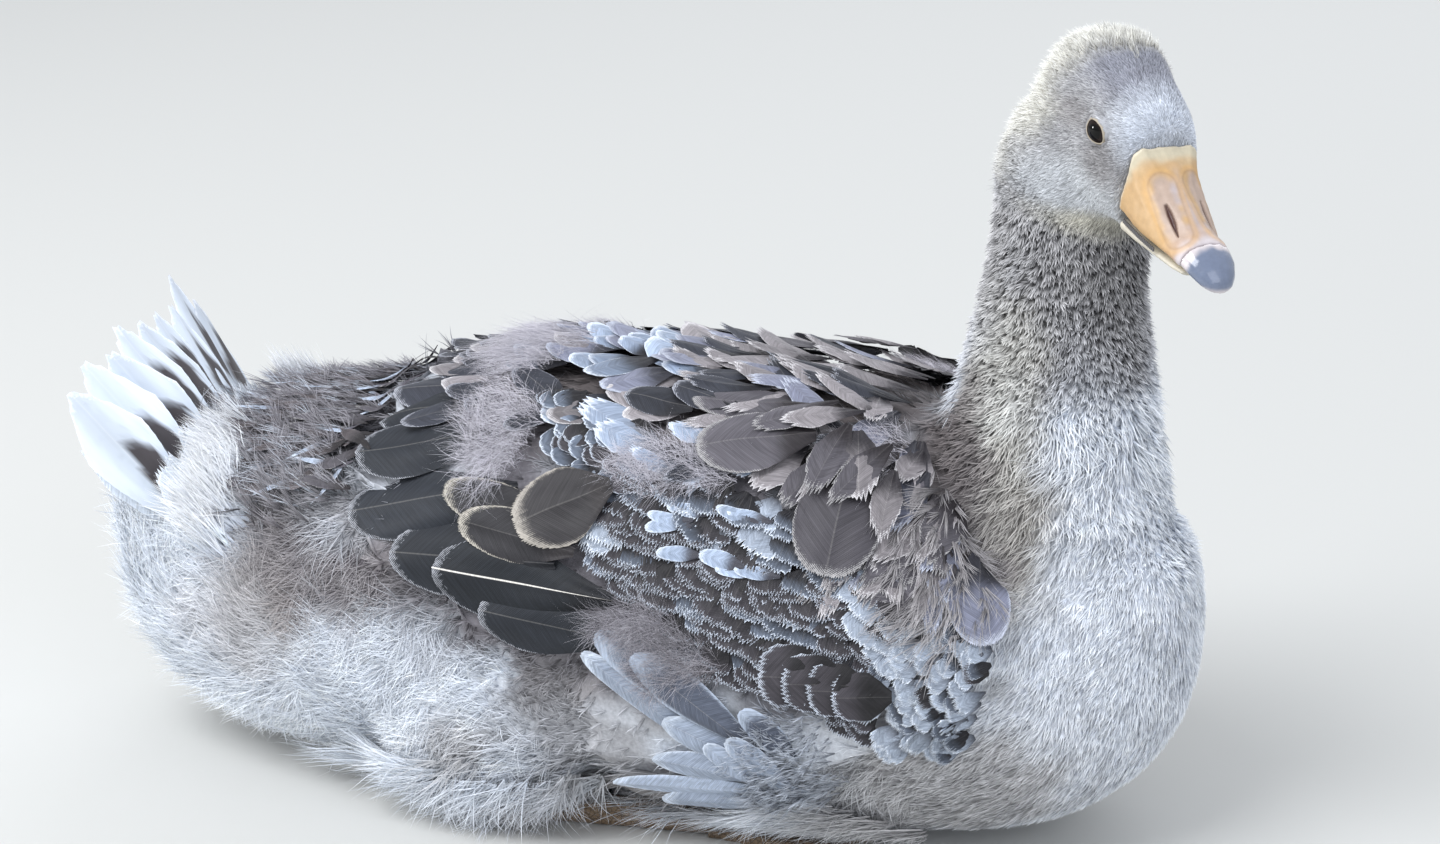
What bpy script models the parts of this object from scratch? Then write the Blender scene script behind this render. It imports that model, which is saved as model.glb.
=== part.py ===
"""A half-grown domestic goose at rest, head turned to its right: a still, life-size display model.

Metres. +X points the way the body faces, +Y to the bird's left, +Z up. The origin is the middle of the
small flat under the belly, on the floor. Every outer size includes the depth of the feathers.
"""

import math

import bmesh
import bpy
import numpy as np
from mathutils import Euler, Matrix, Vector

GAP = 0.0003            # clear space left between neighbouring pieces
LEG_ROOM = 0.0009       # the same around a leg that the belly rests on

# Head frame: midway between the eyes, turned to the bird's right and bowed
HEAD_PLACE = Vector((0.187, -0.031, 0.316))
HEAD_YAW = math.radians(-47)
HEAD_BOW = math.radians(16)
HEAD_ROLL = math.radians(-3)

EYE_RADIUS = 0.0063
EYE_AFT = 0.0040        # eye centre behind the head frame's origin
EYE_OUT = 0.0164        # eye centre to each side of the mid-plane
BILL_ROOT = 0.0198      # feather edge at the bill, ahead of the eyes
NAIL_ROOT = 0.0610      # where the horny nail starts along the bill

SHANK_LENGTH = 0.086
SHANK_RADIUS = 0.0062
TOE_LENGTH = 0.070
WEB_THICKNESS = 0.0035
HOCK = Vector((-0.062, -0.066, 0.0095))
LEG_TOE_IN = math.radians(7)

WING_DEPTH = 0.0085     # covert layer over the arm of the folded wing
MANTLE_DEPTH = 0.0105   # scapular layer over the shoulder
TERTIAL_DEPTH = 0.0090
FLIGHT_DEPTH = 0.0060
TAIL_FEATHERS = 12
TAIL_LENGTH = 0.104
TAIL_SPREAD = math.radians(42)
TAIL_RISE = math.radians(53)
TAIL_ROOT = Vector((-0.203, 0.0, 0.113))

FLESH_VOXEL = 0.0030
FLESH_FACES = 2800


# Trunk outline: place along the body, top, bottom, half width
TRUNK = (
    (-0.2680, 0.128, 0.082, 0.028),
    (-0.2620, 0.146, 0.056, 0.044),
    (-0.2480, 0.154, 0.029, 0.057),
    (-0.2230, 0.154, 0.010, 0.069),
    (-0.1850, 0.157, 0.000, 0.082),
    (-0.1300, 0.168, -0.002, 0.092),
    (-0.0600, 0.184, -0.003, 0.0975),
    (0.0200, 0.184, -0.003, 0.0985),
    (0.0850, 0.179, -0.002, 0.0950),
    (0.1350, 0.166, 0.003, 0.086),
    (0.1700, 0.153, 0.013, 0.073),
    (0.1970, 0.149, 0.032, 0.054),
    (0.2120, 0.132, 0.055, 0.036),
    (0.2170, 0.113, 0.075, 0.019),
)

# Neck: centre, fore-and-aft radius, sideways radius, share of the head's turn
NECK = (
    ((0.1200, 0.000, 0.100), 0.074, 0.066, 0.0),
    ((0.1440, 0.000, 0.145), 0.062, 0.058, 0.0),
    ((0.1520, 0.000, 0.180), 0.0470, 0.047, 0.1),
    ((0.1535, 0.000, 0.210), 0.0400, 0.040, 0.2),
    ((0.1550, -0.001, 0.240), 0.0345, 0.034, 0.4),
    ((0.1575, -0.004, 0.268), 0.0325, 0.032, 0.7),
    ((0.1600, -0.008, 0.295), 0.0310, 0.033, 0.9),
    ((0.1640, -0.011, 0.318), 0.0250, 0.027, 1.0),
)

# Head: place along the head frame, top, bottom, half width, all from the eye line
HEAD = (
    (-0.0440, 0.014, -0.012, 0.013),
    (-0.0400, 0.0220, -0.020, 0.0220),
    (-0.0300, 0.0285, -0.028, 0.0272),
    (-0.0200, 0.0290, -0.032, 0.0272),
    (-0.0080, 0.0262, -0.0345, 0.0232),
    (0.0030, 0.0236, -0.0350, 0.0212),
    (0.0110, 0.0208, -0.0345, 0.0200),
    (0.0175, 0.0160, -0.0335, 0.0182),
    (0.0240, 0.0040, -0.0310, 0.0160),
)

# Bill: place along the head frame, top, lower edge, half width, squareness of the section
UPPER_BILL = (
    (0.0201, 0.0045, -0.0250, 0.0144, 4.4),
    (0.0270, 0.0008, -0.0255, 0.0149, 3.0),
    (0.0350, -0.0036, -0.0258, 0.0146, 2.6),
    (0.0430, -0.0078, -0.0255, 0.0136, 2.4),
    (0.0520, -0.0118, -0.0252, 0.0120, 2.3),
    (0.0607, -0.0140, -0.0250, 0.0112, 2.3),
)
BILL_NAIL = (
    (0.0610, -0.0141, -0.0250, 0.0112, 2.3),
    (0.0670, -0.0160, -0.0258, 0.0100, 2.3),
    (0.0715, -0.0186, -0.0270, 0.0080, 2.2),
    (0.0745, -0.0215, -0.0275, 0.0054, 2.1),
    (0.0758, -0.0240, -0.0274, 0.0026, 2.0),
)
LOWER_BILL = (
    (0.0201, -0.0256, -0.0335, 0.0122, 2.3),
    (0.0300, -0.0262, -0.0325, 0.0118, 2.3),
    (0.0420, -0.0262, -0.0312, 0.0108, 2.2),
    (0.0540, -0.0258, -0.0300, 0.0096, 2.2),
    (0.0600, -0.0257, -0.0292, 0.0080, 2.2),
)

# Side outlines of the folded wing's layers: place along the body and height
ARM_OUTLINE = (
    (-0.013, 0.142), (0.040, 0.150), (0.085, 0.152), (0.128, 0.150), (0.148, 0.128), (0.149, 0.104),
    (0.138, 0.086), (0.112, 0.068), (0.074, 0.048), (0.060, 0.060), (0.030, 0.078), (-0.006, 0.096),
)
PRIMARY_OUTLINE = (
    (-0.0075, 0.0950), (0.0290, 0.0768), (0.0593, 0.0588), (0.0730, 0.0470), (0.052, 0.030), (0.020, 0.017),
    (-0.004, 0.014), (-0.016, 0.024), (-0.010, 0.036), (-0.022, 0.048), (-0.014, 0.060), (-0.024, 0.074),
)
TERTIAL_OUTLINE = (
    (-0.0145, 0.1425), (-0.0075, 0.0965), (-0.040, 0.092), (-0.070, 0.100), (-0.086, 0.112), (-0.074, 0.122),
    (-0.112, 0.118), (-0.128, 0.131), (-0.110, 0.143), (-0.137, 0.148), (-0.138, 0.162), (-0.112, 0.1645),
    (-0.135, 0.172), (-0.130, 0.190), (-0.060, 0.205), (-0.0145, 0.210),
)
MANTLE_OUTLINE = (
    (-0.0142, 0.210), (-0.0142, 0.1425), (0.040, 0.1505), (0.085, 0.1525), (0.127, 0.1508), (0.120, 0.166),
    (0.103, 0.182), (0.092, 0.215),
)


def clear_scene():
    """Removes every object that a new file starts with."""
    for obj in list(bpy.data.objects):
        bpy.data.objects.remove(obj, do_unlink=True)


def new_collection(name, hidden):
    """Adds a collection to the scene, one whose objects render or one for cutters."""
    group = bpy.data.collections.new(name)
    group.hide_render = hidden
    bpy.context.scene.collection.children.link(group)
    return group


def material(name, colour, roughness, metallic=0.0):
    """Returns a plain Principled material."""
    made = bpy.data.materials.new(name)
    made.use_nodes = True
    shader = made.node_tree.nodes["Principled BSDF"]
    shader.inputs["Base Color"].default_value = (*colour, 1.0)
    shader.inputs["Roughness"].default_value = roughness
    shader.inputs["Metallic"].default_value = metallic
    return made


def head_matrix():
    """Returns the placing of the head frame in the model."""
    turn = Euler((HEAD_ROLL, HEAD_BOW, HEAD_YAW), "XYZ").to_matrix().to_4x4()
    return Matrix.Translation(HEAD_PLACE) @ turn


def smooth_rows(rows, steps):
    """Returns rows passed through a smooth curve, with steps new rows between each two."""
    table = np.array(rows, float)
    ends = np.vstack([2 * table[0] - table[1], table, 2 * table[-1] - table[-2]])
    out = []
    for i in range(1, len(ends) - 2):
        a, b, c, d = ends[i - 1:i + 3]
        for step in range(steps):
            t = step / steps
            out.append(0.5 * (2 * b + (c - a) * t + (2 * a - 5 * b + 4 * c - d) * t ** 2
                              + (3 * b - 3 * c + d - a) * t ** 3))
    out.append(table[-1])
    return out


def rounded(angle, power):
    """Returns the cosine and sine of an angle, squared off by a superellipse power."""
    c, s = math.cos(angle), math.sin(angle)
    return (math.copysign(abs(c) ** (2 / power), c), math.copysign(abs(s) ** (2 / power), s))


def side_ring(place, top, bottom, half_width, sides, waist=0.5, power=2.0):
    """Returns one upright section across the X axis, widest at a share of its height."""
    middle = bottom + waist * (top - bottom)
    ring = []
    for i in range(sides):
        c, s = rounded(2 * math.pi * i / sides, power)
        rise = top - middle if s > 0 else middle - bottom
        ring.append(Vector((place, c * half_width, middle + s * rise)))
    return ring


def loft(name, rings, paint, group):
    """Makes a closed body through rings of equal count, with a flat fan over each end."""
    bm = bmesh.new()
    rows = [[bm.verts.new(p) for p in ring] for ring in rings]
    count = len(rings[0])
    for low, high in zip(rows, rows[1:]):
        for i in range(count):
            j = (i + 1) % count
            bm.faces.new((low[i], low[j], high[j], high[i]))
    for row in (rows[0], rows[-1]):
        centre = bm.verts.new(sum((v.co for v in row), Vector()) / count)
        for i in range(count):
            bm.faces.new((row[i], row[(i + 1) % count], centre))
    bmesh.ops.recalc_face_normals(bm, faces=bm.faces)
    return finish(name, bm, paint, group)


def finish(name, bm, paint, group):
    """Writes a bmesh to a new object of the group with one material."""
    mesh = bpy.data.meshes.new(name)
    bm.to_mesh(mesh)
    bm.free()
    mesh.materials.append(paint)
    obj = bpy.data.objects.new(name, mesh)
    group.objects.link(obj)
    return obj


def settle(obj):
    """Replaces an object's mesh by what its modifiers make of it, and drops them."""
    bpy.context.view_layer.update()
    graph = bpy.context.evaluated_depsgraph_get()
    mesh = bpy.data.meshes.new_from_object(obj.evaluated_get(graph), depsgraph=graph)
    obj.modifiers.clear()
    obj.data = mesh
    return obj


def add_boolean(obj, operation, other):
    """Adds an exact Boolean with a hidden cutter."""
    other.display_type = "WIRE"
    other.hide_render = True
    step = obj.modifiers.new(operation.lower(), "BOOLEAN")
    step.operation = operation
    step.solver = "EXACT"
    step.object = other
    return step


def copied(obj, name, group, paint=None):
    """Returns a copy of an object with its own mesh."""
    twin = bpy.data.objects.new(name, obj.data.copy())
    twin.matrix_world = obj.matrix_world.copy()
    if paint:
        twin.data.materials.clear()
        twin.data.materials.append(paint)
    group.objects.link(twin)
    return twin


def half(obj, point, normal):
    """Keeps the part of a closed mesh behind a plane and caps the cut."""
    bm = bmesh.new()
    bm.from_mesh(obj.data)
    everything = bm.verts[:] + bm.edges[:] + bm.faces[:]
    cut = bmesh.ops.bisect_plane(bm, geom=everything, dist=1e-7, plane_co=point, plane_no=normal,
                                 clear_outer=True)
    edges = [part for part in cut["geom_cut"] if isinstance(part, bmesh.types.BMEdge)]
    bmesh.ops.triangle_fill(bm, use_beauty=True, edges=edges)
    bmesh.ops.recalc_face_normals(bm, faces=bm.faces)
    bm.to_mesh(obj.data)
    bm.free()
    return obj


def swollen(obj, name, amount, group):
    """Returns a hidden copy of a closed mesh, pushed out along its normals."""
    twin = copied(obj, name, group)
    bm = bmesh.new()
    bm.from_mesh(twin.data)
    bm.normal_update()
    moves = [(v, v.normal * amount) for v in bm.verts]
    for v, move in moves:
        v.co += move
    bm.to_mesh(twin.data)
    bm.free()
    twin.hide_render = True
    return twin


def mirrored(obj, name, group, paint):
    """Returns a copy of an object on the other side of the body's mid-plane."""
    twin = copied(obj, name, group, paint)
    bm = bmesh.new()
    bm.from_mesh(twin.data)
    bmesh.ops.transform(bm, matrix=Matrix.Scale(-1, 4, (0, 1, 0)), verts=bm.verts)
    bmesh.ops.reverse_faces(bm, faces=bm.faces)
    bm.to_mesh(twin.data)
    bm.free()
    return twin


def trunk_rings(extra, sides=32):
    """Returns the trunk's sections, with the feather layer's depth added all round."""
    rings = []
    for x, top, bottom, wide in smooth_rows(TRUNK, 3):
        rings.append(side_ring(x, top + extra, bottom - extra, wide + extra, sides, 0.47, 2.12))
    rings[0] = [p - Vector((extra, 0, 0)) for p in rings[0]]
    rings[-1] = [p + Vector((extra, 0, 0)) for p in rings[-1]]
    return rings


def neck_rings(sides=32):
    """Returns the neck's sections, each square to its middle line and turned towards the head."""
    rows = smooth_rows([(*centre, deep, wide, turn) for centre, deep, wide, turn in NECK], 3)
    centres = [Vector(row[:3]) for row in rows]
    rings = []
    for i, row in enumerate(rows):
        along = (centres[min(i + 1, len(rows) - 1)] - centres[max(i - 1, 0)]).normalized()
        yaw = row[5] * HEAD_YAW
        front = Vector((math.cos(yaw), math.sin(yaw), 0))
        front = (front - along * front.dot(along)).normalized()
        left = along.cross(front)
        ring = []
        for k in range(sides):
            angle = 2 * math.pi * k / sides
            ring.append(centres[i] + front * row[3] * math.cos(angle) + left * row[4] * math.sin(angle))
        rings.append(ring)
    return rings


def fused(name, pieces, paint, group):
    """Melts overlapping bodies into one closed skin of even faces, then thins it out."""
    bm = bmesh.new()
    for piece in pieces:
        piece.data.transform(piece.matrix_world)
        bm.from_mesh(piece.data)
        bpy.data.objects.remove(piece, do_unlink=True)
    whole = finish(name, bm, paint, group)
    remesh = whole.modifiers.new("melt", "REMESH")
    remesh.mode = "VOXEL"
    remesh.voxel_size = FLESH_VOXEL
    soften = whole.modifiers.new("soften", "SMOOTH")
    soften.factor = 0.5
    soften.iterations = 5
    settle(whole)
    faces = sum(len(p.vertices) - 2 for p in whole.data.polygons)
    thin = whole.modifiers.new("thin", "DECIMATE")
    thin.ratio = FLESH_FACES / faces
    thin.use_collapse_triangulate = True
    return settle(whole)


def prism(name, outline, near, far, group):
    """Makes a cutter from a side outline pulled across the body from near to far."""
    bm = bmesh.new()
    face = bm.faces.new([bm.verts.new((x, near, z)) for x, z in outline])
    grown = bmesh.ops.extrude_face_region(bm, geom=[face])
    moved = [part for part in grown["geom"] if isinstance(part, bmesh.types.BMVert)]
    bmesh.ops.translate(bm, vec=(0, far - near, 0), verts=moved)
    bmesh.ops.recalc_face_normals(bm, faces=bm.faces)
    cutter = finish(name, bm, bpy.data.materials[0], group)
    cutter.hide_render = True
    cutter.display_type = "WIRE"
    return cutter


def layer(name, side, outline, depth, flesh_cutter, paint, parts, cutters):
    """Makes one layer of a folded wing: the swollen trunk inside an outline, less the flesh."""
    obj = loft(name, trunk_rings(depth), paint, parts)
    add_boolean(obj, "INTERSECT", prism(name + "_outline", outline, side * 0.0012, side * 0.160, cutters))
    add_boolean(obj, "DIFFERENCE", flesh_cutter)
    settle(obj)
    return largest_body(obj)


def largest_body(obj):
    """Keeps the largest of the separate bodies in a mesh."""
    bm = bmesh.new()
    bm.from_mesh(obj.data)
    bm.verts.ensure_lookup_table()
    seen, bodies = set(), []
    for start in bm.verts:
        if start in seen:
            continue
        seen.add(start)
        body, queue = [start], [start]
        while queue:
            for edge in queue.pop().link_edges:
                for v in edge.verts:
                    if v not in seen:
                        seen.add(v)
                        body.append(v)
                        queue.append(v)
        bodies.append(body)
    keep = set(max(bodies, key=len))
    bmesh.ops.delete(bm, geom=[v for v in bm.verts if v not in keep], context="VERTS")
    bm.to_mesh(obj.data)
    bm.free()
    return obj


def blade(length, wide, thick, sides=8):
    """Returns the rings of one stiff feather along +X, pointed at the tip."""
    rings = []
    for share, width in ((0.0, 0.45), (0.3, 0.85), (0.65, 1.0), (0.86, 0.78), (0.96, 0.42), (1.0, 0.12)):
        depth = thick * (1.0 - 0.55 * share)
        ring = side_ring(share * length, depth / 2, -depth / 2, width * wide / 2, sides)
        rings.append(ring)
    return rings


def tail_fan(paint, parts):
    """Makes the raised tail: overlapping pointed feathers spread in a fan, joined in one body."""
    pieces = []
    for i in range(TAIL_FEATHERS):
        share = i / (TAIL_FEATHERS - 1) * 2 - 1
        length = TAIL_LENGTH * (1 - 0.16 * abs(share) ** 2)
        made = loft("tail_blade", blade(length, 0.027, 0.0085), paint, parts)
        swing = Matrix.Rotation(math.pi + share * TAIL_SPREAD / 2, 4, "Z")
        rise = Matrix.Rotation(TAIL_RISE, 4, "Y")
        lift = Matrix.Translation((0, -share * 0.030, -0.010 * share ** 2))
        made.matrix_world = Matrix.Translation(TAIL_ROOT) @ rise @ lift @ swing
        pieces.append(made)
    bpy.context.view_layer.update()
    return pieces


def leg(paint_leg, parts):
    """Makes the right shank, lying on the floor from the hock, and the webbed foot ahead of it."""
    turn = Matrix.Translation(HOCK) @ Matrix.Rotation(LEG_TOE_IN, 4, "Z")
    rings = []
    for share, swell in ((0.0, 0.70), (0.04, 1.15), (0.14, 1.25), (0.26, 0.92), (0.6, 0.82), (0.88, 0.92),
                         (1.0, 0.75)):
        r = SHANK_RADIUS * swell
        rings.append(side_ring(share * SHANK_LENGTH, r - 0.0010, -0.0095, r * 0.92, 12, 0.55, 2.6))
    shank = loft("shank_right", rings, paint_leg, parts)
    shank.matrix_world = turn
    return shank


def foot(paint_leg, parts):
    """Makes the right foot: three spread toes with the web between them, flat on the floor."""
    start = HOCK + Matrix.Rotation(LEG_TOE_IN, 3, "Z") @ Vector((SHANK_LENGTH + 3 * GAP, 0, 0))
    fan = math.radians(50)
    bm = bmesh.new()
    steps = 24
    edge = []
    for i in range(steps + 1):
        share = i / steps
        angle = (share - 0.5) * fan
        reach = TOE_LENGTH * (0.87 + 0.13 * math.cos(4 * math.pi * share)) * (1 - 0.06 * abs(2 * share - 1))
        edge.append((reach * math.cos(angle), reach * math.sin(angle)))
    outline = [(0.0, -0.0055)] + edge + [(0.0, 0.0055)]
    low = bm.faces.new([bm.verts.new((x, y, 0.0)) for x, y in outline])
    grown = bmesh.ops.extrude_face_region(bm, geom=[low])
    for part in grown["geom"]:
        if isinstance(part, bmesh.types.BMVert):
            rise = WEB_THICKNESS if part.co.x > 0.012 else WEB_THICKNESS * 1.8
            part.co.z = rise
    bmesh.ops.triangulate(bm, faces=bm.faces)
    bmesh.ops.recalc_face_normals(bm, faces=bm.faces)
    made = finish("foot_right", bm, paint_leg, parts)
    made.matrix_world = Matrix.Translation((start.x, start.y, 0)) @ Matrix.Rotation(LEG_TOE_IN * 2, 4, "Z")
    return made


def thigh(name, side, cutter_bodies, paint, parts):
    """Makes a thigh's feathered bulge low on the flank, cut back to what it lies against."""
    bm = bmesh.new()
    bmesh.ops.create_uvsphere(bm, u_segments=16, v_segments=10, radius=1.0)
    shape = Matrix.Rotation(math.radians(-14), 4, "Y") @ Matrix.Diagonal((0.066, 0.027, 0.043, 1))
    bmesh.ops.transform(bm, matrix=Matrix.Translation((-0.062, side * 0.0730, 0.0560)) @ shape, verts=bm.verts)
    made = finish(name, bm, paint, parts)
    for body in cutter_bodies:
        add_boolean(made, "DIFFERENCE", body)
    settle(made)
    return largest_body(made)


def main():
    clear_scene()
    parts = new_collection("domestic_goose", False)
    cutters = new_collection("cutters", True)
    grey = material("head_grey_feather", (0.36, 0.35, 0.36), 0.9)
    neck_paint = material("neck_down", (0.25, 0.22, 0.21), 0.95)
    breast_paint = material("breast_feather", (0.55, 0.55, 0.58), 0.9)
    trunk_paint = material("flank_down", (0.55, 0.48, 0.45), 0.95)
    white = material("white_feather", (0.80, 0.81, 0.83), 0.85)
    slate = material("slate_feather", (0.06, 0.06, 0.07), 0.7)
    covert = material("covert_feather", (0.24, 0.25, 0.29), 0.8)
    mantle_paint = material("mantle_feather", (0.18, 0.15, 0.14), 0.85)
    flight = material("flight_feather", (0.38, 0.41, 0.47), 0.75)
    bill_paint = material("bill_horn", (0.77, 0.42, 0.17), 0.45)
    nail_paint = material("nail_horn", (0.16, 0.18, 0.22), 0.35)
    leg_paint = material("leg_skin", (0.42, 0.22, 0.08), 0.6)
    eye_paint = material("eye_cornea", (0.012, 0.009, 0.008), 0.06)
    placed = head_matrix()

    trunk_form = loft("trunk_form", trunk_rings(0.0), trunk_paint, parts)
    neck_form = loft("neck_form", neck_rings(), trunk_paint, parts)
    head_form = loft("head_form", [side_ring(x, top, low, wide, 32, 0.48, 2.2)
                                   for x, top, low, wide in smooth_rows(HEAD, 3)], grey, parts)
    head_form.matrix_world = placed
    bpy.context.view_layer.update()
    whole = fused("whole", [trunk_form, neck_form, head_form], trunk_paint, parts)
    leg_rooms = []
    shank_right = leg(leg_paint, parts)
    foot_right = foot(leg_paint, parts)
    bpy.context.view_layer.update()
    for obj in (shank_right, foot_right):
        obj.data.transform(obj.matrix_world)
        obj.matrix_world = Matrix()
        twin = mirrored(obj, obj.name.replace("right", "left"), parts, leg_paint)
        for piece in (obj, twin):
            leg_rooms.append(swollen(piece, piece.name + "_room", LEG_ROOM, cutters))
            add_boolean(whole, "DIFFERENCE", leg_rooms[-1])
    settle(whole)
    half(whole, (0, 0, 0), (0, 0, -1))
    flesh_cutter = swollen(whole, "flesh_cutter", GAP, cutters)

    # Thin cuts part the one form into the regions that a person names
    bill_point, ahead = placed @ Vector((BILL_ROOT, 0, 0)), placed.to_3x3() @ Vector((1, 0, 0))
    nape_point = placed @ Vector((-0.026, 0, -0.020))
    nape_normal = placed.to_3x3() @ Vector((0.62, 0, 0.78))
    base_point, base_normal = Vector((0.104, 0, 0.178)), Vector((0.42, 0, 0.91)).normalized()
    breast_point, across = Vector((0.118, 0, 0)), Vector((1, 0, 0))
    rump_point, rump_normal = Vector((-0.150, 0, 0.09)), Vector((-0.94, 0, 0.34)).normalized()

    def cut(name, paint, *planes):
        piece = copied(whole, name, parts, paint)
        for point, normal in planes:
            half(piece, point + normal * (-GAP / 2), normal)
        return piece

    head = cut("head", grey, (nape_point, -nape_normal), (bill_point, ahead))
    cut("neck", neck_paint, (nape_point, nape_normal), (base_point, -base_normal))
    cut("breast", breast_paint, (base_point, base_normal), (breast_point, -across))
    cut("trunk", trunk_paint, (base_point, base_normal), (breast_point, across), (rump_point, rump_normal))
    cut("rump", white, (rump_point, -rump_normal))
    bpy.data.objects.remove(whole, do_unlink=True)

    for side, name in ((-1, "right"), (1, "left")):
        for label, radius, group in (("eye_", EYE_RADIUS, parts), ("socket_", EYE_RADIUS + GAP, cutters)):
            bm = bmesh.new()
            bmesh.ops.create_uvsphere(bm, u_segments=14, v_segments=8, radius=radius)
            ball = finish(label + name, bm, eye_paint, group)
            ball.matrix_world = placed @ Matrix.Translation((-EYE_AFT, side * EYE_OUT, 0))
        add_boolean(head, "DIFFERENCE", ball)

    for name, rows, paint, waist, steps in (("bill_upper", UPPER_BILL, bill_paint, 0.24, 2),
                                            ("bill_nail", BILL_NAIL, nail_paint, 0.30, 1),
                                            ("bill_lower", LOWER_BILL, bill_paint, 0.62, 1)):
        rings = [side_ring(x, top, low, wide, 16, waist, square)
                 for x, top, low, wide, square in smooth_rows(rows, steps)]
        loft(name, rings, paint, parts).matrix_world = placed

    for side, name in ((-1, "_right"), (1, "_left")):
        for label, outline, depth, paint in (("wing", ARM_OUTLINE, WING_DEPTH, covert),
                                             ("primaries", PRIMARY_OUTLINE, FLIGHT_DEPTH, flight),
                                             ("tertials", TERTIAL_OUTLINE, TERTIAL_DEPTH, slate),
                                             ("mantle", MANTLE_OUTLINE, MANTLE_DEPTH, mantle_paint)):
            wing = layer(label + name, side, outline, depth, flesh_cutter, paint, parts, cutters)
            if label == "primaries":
                over_thigh = swollen(wing, wing.name + "_room", 2 * GAP, cutters)
        thigh("thigh" + name, side, (flesh_cutter, over_thigh, *leg_rooms), white, parts)

    tail_pieces = tail_fan(white, parts)
    bm = bmesh.new()
    for piece in tail_pieces:
        piece.data.transform(piece.matrix_world)
        bm.from_mesh(piece.data)
        bpy.data.objects.remove(piece, do_unlink=True)
    tail = finish("tail", bm, white, parts)
    melt = tail.modifiers.new("melt", "REMESH")
    melt.mode = "VOXEL"
    melt.voxel_size = 0.0012
    thin = tail.modifiers.new("thin", "DECIMATE")
    thin.ratio = 0.0115
    settle(tail)
    add_boolean(tail, "DIFFERENCE", flesh_cutter)
    settle(tail)
    largest_body(tail)


main()
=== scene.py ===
"""A half-grown domestic goose at rest, life size: the looks of the display model.

One skin lies under the whole coat. Short down covers the head, spiky down the neck and breast, soft down
the flanks, and vaned feathers the wings, back and tail. Sizes are in metres, with +X towards the breast and
+Z up.
"""

import logging
import math
from dataclasses import dataclass, field, replace
from enum import Enum

import bmesh
import bpy
import numpy as np
from bmesh.types import BMesh
from bpy.types import Material, Mesh, Node, NodeSocket, NodeTree
from mathutils import Euler, Matrix, Vector
from mathutils.bvhtree import BVHTree


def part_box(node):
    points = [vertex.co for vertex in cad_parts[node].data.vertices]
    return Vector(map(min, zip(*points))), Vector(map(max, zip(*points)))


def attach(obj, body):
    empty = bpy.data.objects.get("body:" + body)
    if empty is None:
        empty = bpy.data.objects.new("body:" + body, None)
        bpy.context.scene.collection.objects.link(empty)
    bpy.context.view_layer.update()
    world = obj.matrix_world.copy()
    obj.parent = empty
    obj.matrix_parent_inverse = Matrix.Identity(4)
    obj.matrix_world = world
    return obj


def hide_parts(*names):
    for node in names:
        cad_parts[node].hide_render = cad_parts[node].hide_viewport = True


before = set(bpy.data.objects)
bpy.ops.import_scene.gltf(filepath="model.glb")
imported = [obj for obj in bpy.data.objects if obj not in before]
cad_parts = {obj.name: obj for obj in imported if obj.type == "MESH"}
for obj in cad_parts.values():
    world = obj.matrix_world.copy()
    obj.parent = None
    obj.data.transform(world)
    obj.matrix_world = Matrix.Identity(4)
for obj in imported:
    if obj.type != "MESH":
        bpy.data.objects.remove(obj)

LOG = logging.getLogger("goose")
MM = 0.001
Array = np.ndarray
Triple = tuple[float, float, float]
FULLNESS = 1.0  # the share of the coat that is grown

WINGS = ("wing_right", "wing_left", "mantle_right", "mantle_left")
FLESH = ("head", "neck", "breast", "trunk", "rump", "thigh_right", "thigh_left", *WINGS)
LAYERS = ("tertials_right", "tertials_left", "primaries_right", "primaries_left")
UNDER_WING = (*WINGS, *LAYERS)

# The head is turned to its right and bowed a little.
HEAD_YAW, HEAD_BOW, HEAD_ROLL = math.radians(-47), math.radians(16), math.radians(-3)
EYES_AHEAD = -0.0040  # the eyes' place ahead of the head's own centre
EYE_TURN = math.radians(18)  # how far ahead of straight sideways the eyes look
EYE_TILT = math.radians(40)  # how far an eye's long axis dips towards the bill
EYE_SHIFT = (0.0050, 0.0, 0.0024)  # the lids' place against the solid eye's middle
EYE_SINK = 0.0011  # how much deeper the full ball's middle lies than the solid eye's
EYE_RADIUS = 7.3 * MM
EYE_OPENING = (5.1 * MM, 3.95 * MM)  # half the length and half the height of the gap between the lids
EYE_CLEAR = 0.4 * MM  # the bare rim is this much wider ahead of an eye than behind it
EYE_BARE = 1.28  # no down grows nearer to an eye than this many times its opening
ALMOND = 1.75  # how pointed the corners of the gap are: 2 is an ellipse

AXIS_HEIGHT = 0.090  # the height of the body's long axis, which feather places are measured round
FLOOR_CLEAR = 0.3 * MM
WIDEST = 0.1215  # no loose strand stands out further than this from the middle of the body
BARB_PITCH = 0.9 * MM  # real barbs lie about 0.4 mm apart; these are coarser so that they show
STRAND_WIDE = 0.04  # a strand's half width as modelled, for a strand one unit long
BAKE_PATCH = 0.003  # a tuft's width on its patch of the OFBake map
WELD = 0.01 * MM  # corners nearer than this are one


# ---------------------------------------------------------------- small helpers


def linear(code: str) -> Array:
    """Turns an sRGB hex colour into linear red, green and blue."""
    value = np.array([int(code[i:i + 2], 16) for i in (1, 3, 5)]) / 255
    return np.where(value <= 0.04045, value / 12.92, ((value + 0.055) / 1.055) ** 2.4)


def rgba(code: str) -> tuple[float, ...]:
    """Turns an sRGB hex colour into a linear colour with full alpha."""
    return (*linear(code), 1.0)


def smooth(value: Array, low: float, high: float) -> Array:
    """Rises smoothly from 0 at low to 1 at high."""
    t = np.clip((value - low) / (high - low), 0, 1)
    return t * t * (3 - 2 * t)


def unit(vectors: Array) -> Array:
    """Scales each row to length 1."""
    return vectors / np.maximum(np.linalg.norm(vectors, axis=-1, keepdims=True), 1e-12)


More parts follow.
